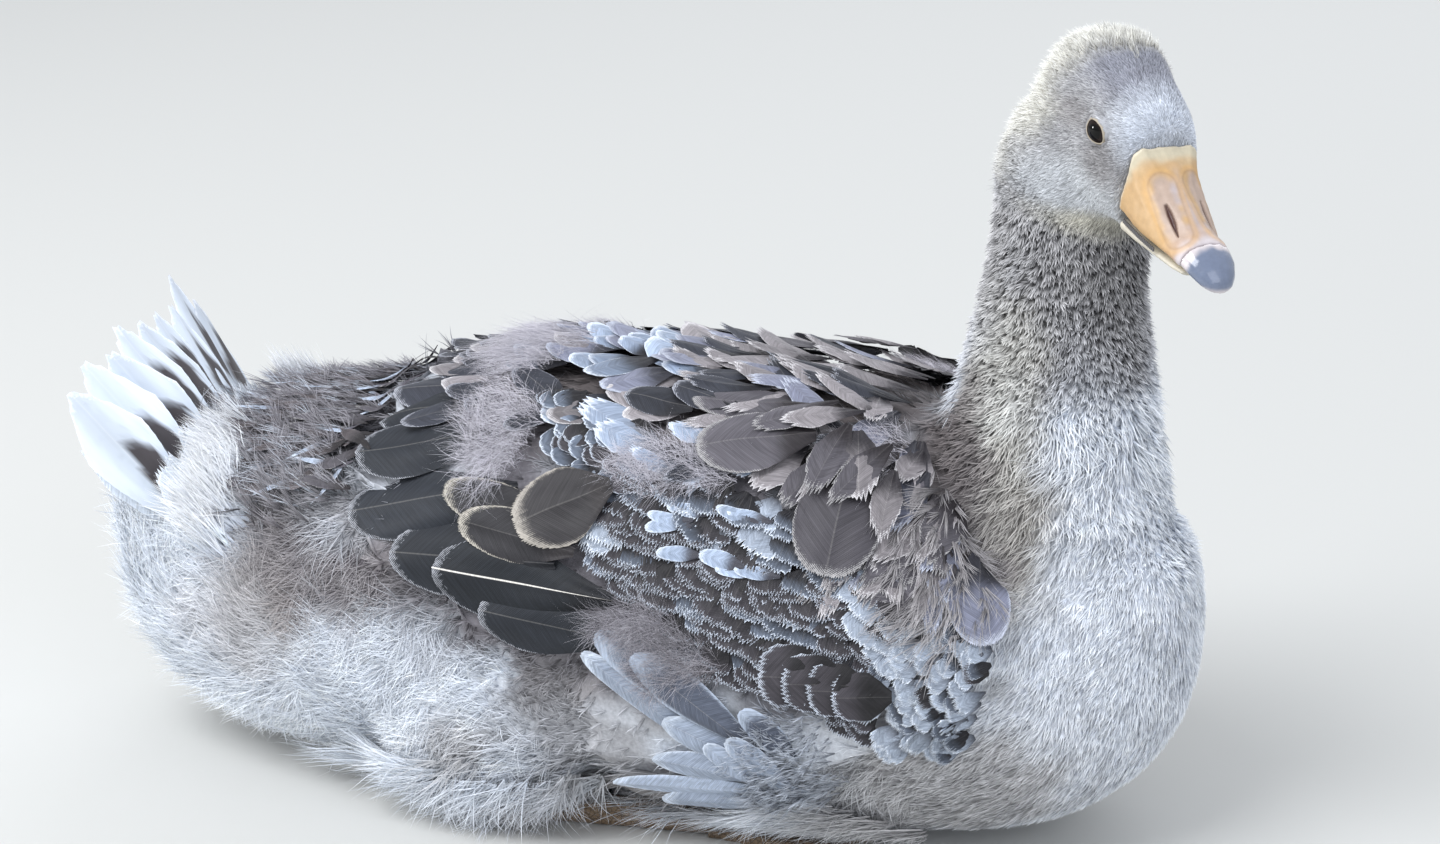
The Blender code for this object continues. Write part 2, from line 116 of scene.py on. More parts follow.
def grain(points: Array, size: float, seed: int = 0) -> Array:
    """Gives smooth random values over space.

    Args:
        points: places, one per row, in metres.
        size: how far apart the random values lie.
        seed: another seed gives another pattern.

    Returns:
        One value from 0 to 1 per point.
    """
    cell = points / size
    low = np.floor(cell).astype(np.int64)
    part = cell - low
    part = part * part * (3 - 2 * part)
    total = np.zeros(len(points))
    for corner in range(8):
        step = np.array([corner & 1, corner >> 1 & 1, corner >> 2 & 1])
        key = ((low + step) * np.array([73856093, 19349663, 83492791])).sum(1) + seed * 2654435761
        key = (key ^ (key >> 13)) * 1274126177 & 0xFFFFFFFF
        key = (key ^ (key >> 16)) * 2246822519 & 0xFFFFFFFF
        total += key / 0xFFFFFFFF * np.prod(np.where(step, part, 1 - part), axis=1)
    return total


def new_object(name: str, mesh: Mesh) -> bpy.types.Object:
    """Puts a mesh in the scene.

    Args:
        name: the name for both the object and its mesh.
        mesh: the mesh.

    Returns:
        The object.
    """
    mesh.name = name
    made = bpy.data.objects.new(name, mesh)
    bpy.context.scene.collection.objects.link(made)
    return made


def place(name: str, mesh: Mesh, finish: Material,
          stands_for: tuple[str, ...] = (), rounded: bool = True) -> None:
    """Dresses a finished piece and fixes it to the body.

    Args:
        name: the piece's name.
        mesh: its mesh, already in its place.
        finish: its material.
        stands_for: the solids it is shown for.
        rounded: whether its faces shade as one smooth surface.
    """
    mesh.polygons.foreach_set("use_smooth", np.full(len(mesh.polygons), rounded))
    mesh.materials.append(finish)
    piece = new_object(name, mesh)
    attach(piece, "root")
    if stands_for:
        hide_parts(*stands_for)
    LOG.info("%s: %d faces", name, len(mesh.polygons))


def mesh_of(bm: BMesh) -> Mesh:
    """Turns a worked form into a mesh, and lets the form go.

    Args:
        bm: the form.

    Returns:
        The mesh.
    """
    mesh = bpy.data.meshes.new("piece")
    bm.to_mesh(mesh)
    bm.free()
    return mesh


def softened(mesh: Mesh, voxel: float, rounds: int) -> BMesh:
    """Rebuilds a mesh as one closed form of small even faces, and wears its edges down.

    Args:
        mesh: the mesh.
        voxel: the size of the new faces.
        rounds: how many times the form is smoothed.

    Returns:
        The form, ready for more work.
    """
    lump = new_object("lump", mesh)
    remesh = lump.modifiers.new("Remesh", "REMESH")
    remesh.mode = "VOXEL"
    remesh.voxel_size = voxel
    bm = bmesh.new()
    bm.from_mesh(lump.evaluated_get(bpy.context.evaluated_depsgraph_get()).data)
    bpy.data.objects.remove(lump)
    for _ in range(rounds):
        bmesh.ops.smooth_vert(bm, verts=bm.verts, factor=0.5, use_axis_x=True, use_axis_y=True,
                              use_axis_z=True)
    return bm


def triangulated(bm: BMesh) -> Array:
    """Cuts a form's faces into triangles.

    Args:
        bm: the form.

    Returns:
        The three corners of each triangle.
    """
    bmesh.ops.triangulate(bm, faces=bm.faces)
    bm.verts.index_update()
    return np.array([[v.index for v in f.verts] for f in bm.faces])


def mesh_from(points: Array, faces: Array) -> Mesh:
    """Joins many copies of small shapes into one mesh.

    Args:
        points: the vertices, one per row.
        faces: the three corners of each triangle, one triangle per row.

    Returns:
        The mesh.
    """
    mesh = bpy.data.meshes.new("piece")
    mesh.vertices.add(len(points))
    mesh.loops.add(faces.size)
    mesh.loops.foreach_set("vertex_index", faces.astype(np.int32).ravel())
    mesh.polygons.add(len(faces))
    mesh.polygons.foreach_set("loop_start", np.arange(0, faces.size, 3, dtype=np.int32))
    mesh.polygons.foreach_set("loop_total", np.full(len(faces), 3, np.int32))
    move_vertices(mesh, points)
    return mesh


def move_vertices(mesh: Mesh, points: Array) -> None:
    """Puts a mesh's vertices at new places, one per row."""
    mesh.vertices.foreach_set("co", points.astype(np.float32).ravel())
    mesh.update(calc_edges=True)


def read_rows(mesh: Mesh, what: str = "co") -> Array:
    """Reads three numbers of each vertex of a mesh.

    Args:
        mesh: the mesh.
        what: what is read: "co" for places or "normal" for the ways out.

    Returns:
        One row per vertex.
    """
    rows = np.empty(len(mesh.vertices) * 3, np.float32)
    mesh.vertices.foreach_get(what, rows)
    return rows.reshape(-1, 3).astype(float)


def write_attribute(mesh: Mesh, name: str, values: Array) -> None:
    """Stores values with a mesh's vertices, for its material to read.

    Args:
        mesh: the mesh.
        name: the attribute's name.
        values: one number per vertex, or one row of four.
    """
    kind, key = ("FLOAT", "value") if values.ndim == 1 else ("FLOAT_COLOR", "color")
    layer = mesh.attributes.new(name, kind, "POINT")
    layer.data.foreach_set(key, values.astype(np.float32).ravel())


def write_tint(mesh: Mesh, colours: Array) -> None:
    """Stores a piece's own linear colours, one per vertex or a single one for them all."""
    rows = np.broadcast_to(np.clip(colours, 0, 1), (len(mesh.vertices), 3))
    write_attribute(mesh, "Tint", np.column_stack([rows, np.ones(len(rows))]))


def write_map(mesh: Mesh, name: str, corners: Array) -> None:
    """Stores a UV map with one place per face corner."""
    layer = mesh.uv_layers.new(name=name)
    layer.data.foreach_set("uv", corners.astype(np.float32).ravel())


# ---------------------------------------------------------------- the head's own frame


class HeadFrame:
    """The head's place and turn, found from the two eyeballs."""

    def __init__(self) -> None:
        """Takes the middle of the eyes and the head's turn."""
        eyes = [sum(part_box(name), Vector()) / 2 for name in ("eye_right", "eye_left")]
        turn = Euler((HEAD_ROLL, HEAD_BOW, HEAD_YAW), "XYZ").to_matrix()
        self.turn = np.array(turn)
        self.centre = np.array((eyes[0] + eyes[1]) / 2 - turn @ Vector((EYES_AHEAD, 0, 0)))
        self.eyes = {"right": np.array(eyes[0]), "left": np.array(eyes[1])}
        self.sockets = {}
        for name, side in (("right", -1), ("left", 1)):
            # An eye looks outwards and somewhat ahead. Its own axes are ahead, out and up.
            aim = Matrix.Rotation(-side * EYE_TURN, 3, "Z")
            axes = turn @ aim @ Matrix.Diagonal((1, side, 1)) @ Matrix.Rotation(EYE_TILT, 3, "Y")
            moved = turn @ Vector(EYE_SHIFT) - axes @ Vector((0, EYE_SINK, 0))
            self.sockets[name] = (np.array(axes), self.eyes[name] + np.array(moved))

    def inside(self, points: Array) -> Array:
        """Gives body points in the head's own frame: ahead, to its left, up."""
        return (points - self.centre) @ self.turn

    def outside(self, points: Array) -> Array:
        """Gives head points in the body's frame."""
        return points @ self.turn.T + self.centre

    def share(self, points: Array) -> Array:
        """Says how far each point belongs to the head: 1 on it, 0 well down the neck."""
        return smooth(self.inside(points)[:, 2], -0.051, -0.036)


HEAD = HeadFrame()


class On(Enum):
    """What a patch's place is measured in."""

    BODY = "body"
    HEAD = "head"


@dataclass(frozen=True)
class Patch:
    """A soft-edged oval of the body, on both sides, where the coat takes other values.

    The centre and the radii are in millimetres, on the right side. Soft is the share of the oval over which
    it fades, and ragged how far its edge wanders between places that lie a grain apart. With side -1 it
    holds on the right only, with 1 on the left only. Most is how strongly it holds in its middle.
    """

    centre: Triple
    radii: Triple
    value: tuple = (1,)
    soft: float = 0.35
    ragged: float = 0.25
    grain: float = 0.014
    on: On = On.BODY
    side: int = 0
    most: float = 1.0

    def weight(self, points: Array) -> Array:
        """Says how strongly the patch holds.

        Args:
            points: body points.

        Returns:
            One value from 0 to 1 per point.
        """
        local = HEAD.inside(points) if self.on is On.HEAD else points.copy()
        held = np.ones(len(points)) if not self.side else smooth(local[:, 1] * self.side, -0.004, 0.004)
        local[:, 1] = -np.abs(local[:, 1])
        away = np.linalg.norm((local / MM - np.array(self.centre)) / np.array(self.radii), axis=1)
        away += self.ragged * (grain(points, self.grain, 5) * 2 - 1)
        return held * self.most * (1 - smooth(away, 1 - self.soft, 1 + self.soft))


def alike(*patches: Patch, **shared: object) -> tuple[Patch, ...]:
    """Gives several patches the settings that they share."""
    return tuple(replace(patch, **shared) for patch in patches)


def layered(points: Array, base: tuple, patches: tuple[Patch, ...]) -> Array:
    """Lays patches of values over a base value, in order.

    Args:
        points: body points.
        base: the values where no patch holds.
        patches: the patches, the later over the earlier.

    Returns:
        One row of values per point.
    """
    total = np.tile(np.array(base, float), (len(points), 1))
    for patch in patches:
        weight = patch.weight(points)[:, None]
        total += (np.array(patch.value, float) - total) * weight
    return total


# ---------------------------------------------------------------- markings


def shade(tip: str, root: str) -> tuple[float, ...]:
    """Gives a tuft's tip and root colours as six linear numbers; the darker root is partly the down's own
    base and partly painted shade between the tufts.
    """
    return (*linear(tip), *linear(root))


# The whites and greys are tinted cool blue: a painted cast of cool skylight over the coat's own colours.
WHITE = shade("#F2F7FF", "#CDD3DC")
MARKINGS = (
    Patch((195, 0, 110), (100, 130, 138), shade("#F8FBFF", "#CBD1DB"), soft=0.2),
    Patch((130, -85, 36), (60, 50, 50), shade("#DBDBDD", "#A09E9F"), soft=0.5),
    Patch((145, -56, 158), (20, 36, 46), shade("#DDDAD4", "#908C89"), soft=0.6),
    Patch((157, 0, 240), (75, 75, 40), shade("#DEDFE3", "#5C5A5F"), soft=0.4),
    Patch((158, 0, 262), (60, 60, 42), shade("#CFCED0", "#1C1A1D"), soft=0.35),
    Patch((132, -40, 198), (22, 26, 50), shade("#E4E3DC", "#918E88"), soft=0.5, most=0.8),
    Patch((102, -64, 156), (44, 50, 50), shade("#A9A3A2", "#555052"), soft=0.3),
    Patch((0, -30, 190), (130, 80, 45), shade("#8D8585", "#454142"), soft=0.3),
    Patch((4, -100, 134), (128, 60, 60), shade("#A19FA5", "#545055"), soft=0.3),
    Patch((-172, 0, 160), (58, 80, 32), shade("#92919A", "#2E2B2E"), soft=0.35),
    Patch((-152, -90, 112), (46, 45, 25), shade("#B2AEB0", "#544F54"), soft=0.45, ragged=0.5),
    Patch((-180, -80, 80), (30, 40, 22), shade("#CFC8C6", "#97908C"), soft=0.6, ragged=0.5,
          most=0.6),
    Patch((-10, -95, 14), (60, 40, 24), shade("#AFADB0", "#77736F"), soft=0.5, ragged=0.5),
    Patch((-20, -95, 60), (36, 40, 22), shade("#B4B3B7", "#7C7979"), soft=0.6, ragged=0.6,
          most=0.75),
    Patch((-70, -90, 48), (22, 40, 12), shade("#CFCDCE", "#989390"), soft=0.6, ragged=0.6,
          most=0.6),
)
HEAD_BASE = shade("#C6C6C8", "#818083")
HEAD_MARKINGS = alike(
    Patch((2, -20, -26), (30, 20, 12), shade("#D6D9DD", "#A9ABAE"), soft=0.5),
    Patch((0, 0, 30), (30, 36, 17), shade("#A5A7B2", "#6E6F78"), soft=0.4,
          ragged=0.12),
    # The forehead's paler, bluish tone is a painted sheen of the sky.
    Patch((17, 0, 11), (13, 26, 14), shade("#E6ECF6", "#ABB0BA"), soft=0.6),
    Patch((9, -21, -8), (8, 10, 10), shade("#A4A2A4", "#7A7776"), soft=0.6,
          most=0.7),
    Patch((-12, -25, 4), (7, 10, 6), shade("#A09C9C", "#7A7573"), soft=0.6,
          most=0.5),
    Patch((-4, 0, -40), (30, 26, 7), shade("#DEDBCF", "#A8A498"), soft=0.5),
    Patch((-40, 0, 3), (24, 46, 47), shade("#FCFBF4", "#B4B0A6"), soft=0.22,
          ragged=0.2),
    on=On.HEAD)


def over_all(points: Array, body: tuple, head: tuple) -> Array:
    """Works out values over the whole bird, passing from the body's to the head's at the top of the neck.

    Args:
        points: body points.
        body: the body's base value and its patches.
        head: the head's.

    Returns:
        One row of values per point.
    """
    values = layered(points, *body)
    return values + (layered(points, *head) - values) * HEAD.share(points)[:, None]


def markings(points: Array) -> tuple[Array, Array]:
    """Gives the colour of a tuft's tip and of its root at each body point; the darker root is partly the
    down's own base and partly painted shade.
    """
    total = over_all(points, (WHITE, MARKINGS), (HEAD_BASE, HEAD_MARKINGS))
    return total[:, :3], total[:, 3:]


# ---------------------------------------------------------------- how the coat grows

# Each value is a tuft's length, its width and the coat's depth in millimetres, then tufts for each square
# centimetre of skin compared with the flank's.
GROWTH_BASE = (21.0, 0.50, 6.5, 1.0)
GROWTH = (
    Patch((190, 0, 80), (110, 140, 110), (7.5, 0.70, 3.2, 2.3), soft=0.3),
    Patch((140, -50, 165), (35, 45, 40), (12.0, 0.55, 5.0, 1.8), soft=0.5),
    Patch((156, 0, 245), (90, 90, 70), (6.2, 0.95, 4.2, 2.6), soft=0.3),
    Patch((30, -70, 150), (110, 70, 70), (9.0, 0.60, 4.5, 1.2), soft=0.2),
    Patch((-100, -60, 165), (50, 60, 50), (9.0, 0.60, 4.5, 1.2), soft=0.2),
    Patch((20, -100, 80), (100, 40, 50), (9.0, 0.60, 4.5, 1.0), soft=0.2),
    Patch((-250, 0, 70), (50, 120, 80), (26.0, 0.70, 6.5, 0.9), soft=0.4),
    Patch((-170, 0, 150), (45, 75, 34), (19.0, 0.60, 8.0, 1.2), soft=0.3),
    Patch((-20, -90, 22), (110, 35, 18), (21.0, 0.60, 6.0, 1.3), soft=0.4),
    Patch((0, 0, -4), (260, 110, 14), (10.0, 0.60, 2.5, 0.5), soft=0.3),
    Patch((-226, -45, 132), (22, 34, 22), (9.0, 0.60, 3.0, 1.2), soft=0.3),
)
HEAD_GROWTH_BASE = (3.0, 0.46, 0.9, 9.0)
HEAD_GROWTH = alike(
    Patch((-42, 0, 2), (22, 46, 46), (4.4, 0.60, 1.8, 7.0), soft=0.4),
    Patch((16, 0, 4), (10, 26, 30), (1.8, 0.34, 0.6, 9.0), soft=0.5),
    on=On.HEAD)


def growth(points: Array) -> Array:
    """Says how the coat grows at body points.

    Args:
        points: body points.

    Returns:
        Per point, a tuft's length and width and the coat's depth in metres, then how densely tufts stand.
    """
    total = over_all(points, (GROWTH_BASE, GROWTH), (HEAD_GROWTH_BASE, HEAD_GROWTH))
    total[:, :3] *= MM
    return total


# The way tufts point on the right side. On the left the second number changes sign.
LIE_BASE = (-1.0, 0.0, -0.20)
LIE = alike(
    Patch((0, -100, 60), (120, 60, 60), (-1.0, -0.1, -0.55), soft=0.6),
    Patch((-10, -95, 18), (120, 50, 20), (-0.7, -0.3, -1.0), soft=0.5),
    Patch((190, 0, 20), (80, 120, 50), (-1.0, -0.1, -0.30), soft=0.5),
    Patch((200, 0, 110), (80, 120, 70), (-0.45, -0.15, -1.0), soft=0.4),
    Patch((155, 0, 250), (90, 90, 110), (-0.25, -0.05, -1.0), soft=0.3),
    Patch((110, -65, 150), (45, 50, 60), (-0.65, -0.1, -1.0), soft=0.5),
    Patch((-200, 0, 150), (70, 90, 40), (-1.0, 0.0, 0.30), soft=0.5),
    Patch((-215, -60, 100), (45, 60, 50), (-1.0, 0.2, 0.55), soft=0.5),
    Patch((-260, 0, 70), (50, 120, 80), (-0.50, 0.1, 1.0), soft=0.4),
    ragged=0)
HEAD_LIE_BASE = (-1.0, 0.0, -0.30)
HEAD_LIE = alike(
    Patch((0, 0, -26), (30, 40, 16), (-1.0, 0.0, -0.9), soft=0.6),
    Patch((0, 0, 30), (40, 40, 14), (-1.0, 0.0, 0.1), soft=0.6),
    Patch((-44, 0, -6), (16, 40, 36), (-0.5, 0.0, -1.0), soft=0.6),
    on=On.HEAD, ragged=0)


def lie(points: Array, normals: Array) -> Array:
    """Gives the way the coat lies along the surface.

    Args:
        points: body points.
        normals: the way out from the body at each.

    Returns:
        One way of length 1 per point.
    """
    body = layered(points, LIE_BASE, LIE)
    body[:, 1] *= np.sign(-points[:, 1])
    head = layered(points, HEAD_LIE_BASE, HEAD_LIE) @ HEAD.turn.T
    way = body + (head - body) * HEAD.share(points)[:, None]
    way -= normals * (way * normals).sum(1, keepdims=True)
    return unit(way)


# ---------------------------------------------------------------- the skin


def almond_reach(ahead: Array, up: Array) -> Array:
    """Says how far a place lies from the middle of the lids' gap: 1 on its edge."""
    return (np.abs(ahead / EYE_OPENING[0]) ** ALMOND + np.abs(up / EYE_OPENING[1]) ** ALMOND) ** (1 / ALMOND)


@dataclass
class Body:
    """The outer form of the coat, fused from the solids, and the skin that lies inside it."""

    voxel: float = 2.4 * MM
    swell: float = 0.4 * MM
    lid_thick: float = 0.4 * MM
    lid_reach: float = 2.4  # how many times the gap's size the lids reach over the skin round it
    floor_gap: float = 1.0 * MM
    root_share: float = 0.65  # how much of the tufts' root colour, partly painted shade between them, shows on the skin
    margin: float = 0.01  # what is left free round the unwrapped skin on its map
    outer: Array = field(init=False)
    normals: Array = field(init=False)
    skin: Array = field(init=False)
    faces: Array = field(init=False)
    owners: Array = field(init=False)
    bvh: BVHTree = field(init=False)

    def build(self, finish: Material) -> None:
        """Makes the skin, which stands for all the flesh.

        Args:
            finish: the skin's material.
        """
        mesh = self.fused()
        corners = np.empty(len(mesh.loops), np.int32)
        mesh.loops.foreach_get("vertex_index", corners)
        self.faces = corners.reshape(-1, 3)
        self.outer, self.normals = read_rows(mesh), unit(read_rows(mesh, "normal"))
        self.carve_crown()
        self.bvh = BVHTree.FromPolygons(self.outer.tolist(), self.faces.tolist())
        self.owners = self.owned()
        self.skin = self.outer - self.normals * growth(self.outer)[:, 2:3]
        self.sink_eyes()
        self.skin[:, 2] = np.maximum(self.skin[:, 2], self.floor_gap)
        move_vertices(mesh, self.skin)
        # The skin takes mostly the tufts' darker root colour: partly the down's own base, partly painted
        # shade under the coat.
        tip, root = markings(self.outer)
        write_tint(mesh, tip + (root - tip) * self.root_share)
        place("skin", mesh, finish, FLESH)

    def fused(self) -> Mesh:
        """Fuses copies of the solids into one closed form without seams, finer on the head.

        Returns:
            Its mesh, of triangles.
        """
        bm = bmesh.new()
        for name in (*FLESH, *LAYERS, "eye_right", "eye_left"):
            bm.from_mesh(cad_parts[name].data)
        bmesh.ops.remove_doubles(bm, verts=bm.verts, dist=WELD)
        bm.normal_update()
        for v in bm.verts:
            v.co += v.normal * self.swell
        bm = softened(mesh_of(bm), self.voxel, 3)
        on_head = HEAD.share(np.array([f.calc_center_median() for f in bm.faces])) > 0.5
        edges = {e for f, wanted in zip(bm.faces, on_head) if wanted for e in f.edges}
        bmesh.ops.subdivide_edges(bm, edges=list(edges), cuts=1, use_grid_fill=True, smooth=0.6)
        bmesh.ops.triangulate(bm, faces=bm.faces)
        bmesh.ops.recalc_face_normals(bm, faces=bm.faces)
        return mesh_of(bm)

    def carve_crown(self) -> None:
        """Draws the crown's sides and front in, so that its top is narrow and nearly flat."""
        local = HEAD.inside(self.outer)
        high = smooth(local[:, 2], 0.008, 0.036)
        local[:, 1] *= 1 - 0.16 * high
        local[:, 0] *= 1 - 0.22 * high * (local[:, 0] > 0)
        local[:, 2] -= 0.0045 * smooth(local[:, 2], 0.020, 0.038)
        # The nape is drawn in behind, between the crown and the neck.
        nape = (1 - smooth(local[:, 0], -0.052, -0.030)) * smooth(local[:, 2], -0.036, -0.016)
        nape *= (1 - smooth(local[:, 2], 0.010, 0.026)) * HEAD.share(self.outer)
        local[:, 0] += 0.0050 * nape
        changed = (high > 0) | (nape > 0)
        self.outer = np.where(changed[:, None], HEAD.outside(local), self.outer)

    def owned(self) -> Array:
        """Finds which solid each face of the outer form came from.

        Returns:
            The solids' names, one per face.
        """
        names, points, faces = [], [], []
        for name in (*FLESH, *LAYERS):
            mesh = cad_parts[name].data
            start = len(points)
            points += [v.co for v in mesh.vertices]
            faces += [[start + i for i in p.vertices] for p in mesh.polygons]
            names += [name] * len(mesh.polygons)
        solids = BVHTree.FromPolygons(points, faces)
        middles = self.outer[self.faces].mean(1)
        return np.array([names[solids.find_nearest(Vector(m))[2]] for m in middles])

    def sink_eyes(self) -> None:
        """Draws the skin in behind each eyeball and lays lids over its rim."""
        for axes, centre in HEAD.sockets.values():
            local = (self.skin - centre) @ axes
            reach = almond_reach(local[:, 0], local[:, 2])
            near = (reach < self.lid_reach) & (local[:, 1] > -0.004)
            flat = np.hypot(local[:, 0], local[:, 2])
            lid = np.sqrt(np.maximum((EYE_RADIUS + self.lid_thick) ** 2 - flat ** 2, 0))
            hold = 1 - smooth(reach, 1.1, self.lid_reach)
            height = local[:, 1] + (np.maximum(lid, local[:, 1] * 0.6) - local[:, 1]) * hold
            height = np.where(reach < 1.0, np.minimum(height, EYE_RADIUS * 0.3), height)
            local[:, 1] = np.where(near, height, local[:, 1])
            self.skin[near] = (local @ axes.T + centre)[near]

    def ray(self, x: float, angle: float) -> tuple[Array, Array]:
        """Finds the outer form at a place along the body and an angle round it.

        Args:
            x: the place along the body.
            angle: degrees up from the right side: 90 is the top of the back, 180 the left side.

        Returns:
            The point and the outward normal there.
        """
        turn = math.radians(angle)
        way = Vector((0, -math.cos(turn), math.sin(turn)))
        origin = Vector((x, 0, AXIS_HEIGHT))
        hit, normal, _, _ = self.bvh.ray_cast(origin + way * 0.3, -way)
        if hit is None:
            return np.array(origin + way * 0.05), np.array(way)
        return np.array(hit), np.array(normal if normal.dot(way) > 0 else -normal)

    def unwrap(self, chosen: Array) -> Array:
        """Unwraps some of the skin's faces onto one flat map.

        Args:
            chosen: the faces' numbers.

        Returns:
            The map's place for each corner of each chosen face, between 0 and 1.
        """
        used, index = np.unique(self.faces[chosen], return_inverse=True)
        mesh = mesh_from(self.skin[used], index.reshape(-1, 3))
        sheet = new_object("unwrap", mesh)
        bpy.ops.object.select_all(action="DESELECT")
        bpy.context.view_layer.objects.active = sheet
        sheet.select_set(True)
        bpy.ops.object.mode_set(mode="EDIT")
        bpy.ops.mesh.select_all(action="SELECT")
        bpy.ops.uv.smart_project(angle_limit=math.radians(66), island_margin=0.004)
        bpy.ops.object.mode_set(mode="OBJECT")
        corners = np.empty(len(mesh.loops) * 2, np.float32)
        mesh.uv_layers.active.data.foreach_get("uv", corners)
        bpy.data.objects.remove(sheet)
        corners = corners.reshape(-1, 3, 2).astype(float)
        low, high = corners.min((0, 1)), corners.max((0, 1))
        return self.margin + (1 - 2 * self.margin) * (corners - low) / (high - low)


# ---------------------------------------------------------------- tufts of down


@dataclass(frozen=True)
class Strand:
    """How one kind of tuft is made of strands.

    Steps is how many faces a strand has along it. Fan and roll are how far, in radians, the strands spread
    and turn, curl how far they bend and uneven how much shorter some are, as shares of the length.
    """

    strands: int
    steps: int
    fan: float
    roll: float
    curl: float
    uneven: float

    def template(self, seed: int) -> tuple[Array, Array, Array, Array]:
        """Models one tuft, one unit long and pointing along +X.

        Args:
            seed: another seed gives a tuft of the same kind with other strands.

        Returns:
            Each vertex's place on its strand's middle line, its way out from that line in half widths,
            its place from root to tip, and the triangles.
        """
        rng = np.random.default_rng(seed)
        bm = bmesh.new()
        edge = bm.verts.layers.float_vector.new("edge")
        place_along = bm.verts.layers.float.new("along")
        for i in range(self.strands):
            grown = bmesh.ops.create_grid(bm, x_segments=self.steps, y_segments=1, size=1.0)["verts"]
            swing = (i / max(self.strands - 1, 1) - 0.5) * self.fan + rng.normal() * self.fan * 0.15
            length, tilt = 1 - self.uneven * rng.random(), rng.normal() * self.roll
            bend, lift = rng.normal() * self.curl, rng.normal() * self.curl * 0.5
            for v in grown:
                share = (v.co.x + 1) / 2
                wide = v.co.y * (1 - share) ** 0.7
                v[place_along] = share
                v[edge] = Vector((0, math.cos(tilt), math.sin(tilt))) * wide
                line = Vector((length * math.cos(swing), length * math.sin(swing), 0)) * share
                v.co = line + Vector((0, bend, lift)) * share ** 2 + v[edge] * STRAND_WIDE
        bmesh.ops.remove_doubles(bm, verts=bm.verts, dist=1e-6)
        faces = triangulated(bm)
        edges = np.array([v[edge] for v in bm.verts])
        lines = np.array([v.co for v in bm.verts]) - edges * STRAND_WIDE
        shares = np.array([v[place_along] for v in bm.verts])
        bm.free()
        return lines, edges, shares, faces


class Tuft(Enum):
    """The kinds of down."""

    VELVET = Strand(strands=1, steps=2, fan=0.0, roll=0.5, curl=0.06, uneven=0.2)
    SPIKY = Strand(strands=4, steps=2, fan=0.55, roll=0.7, curl=0.06, uneven=0.35)
    SOFT = Strand(strands=5, steps=3, fan=0.50, roll=0.7, curl=0.24, uneven=0.45)
    WISPY = Strand(strands=4, steps=3, fan=0.90, roll=0.9, curl=0.34, uneven=0.5)
    LOCK = Strand(strands=7, steps=3, fan=0.26, roll=0.8, curl=0.10, uneven=0.35)


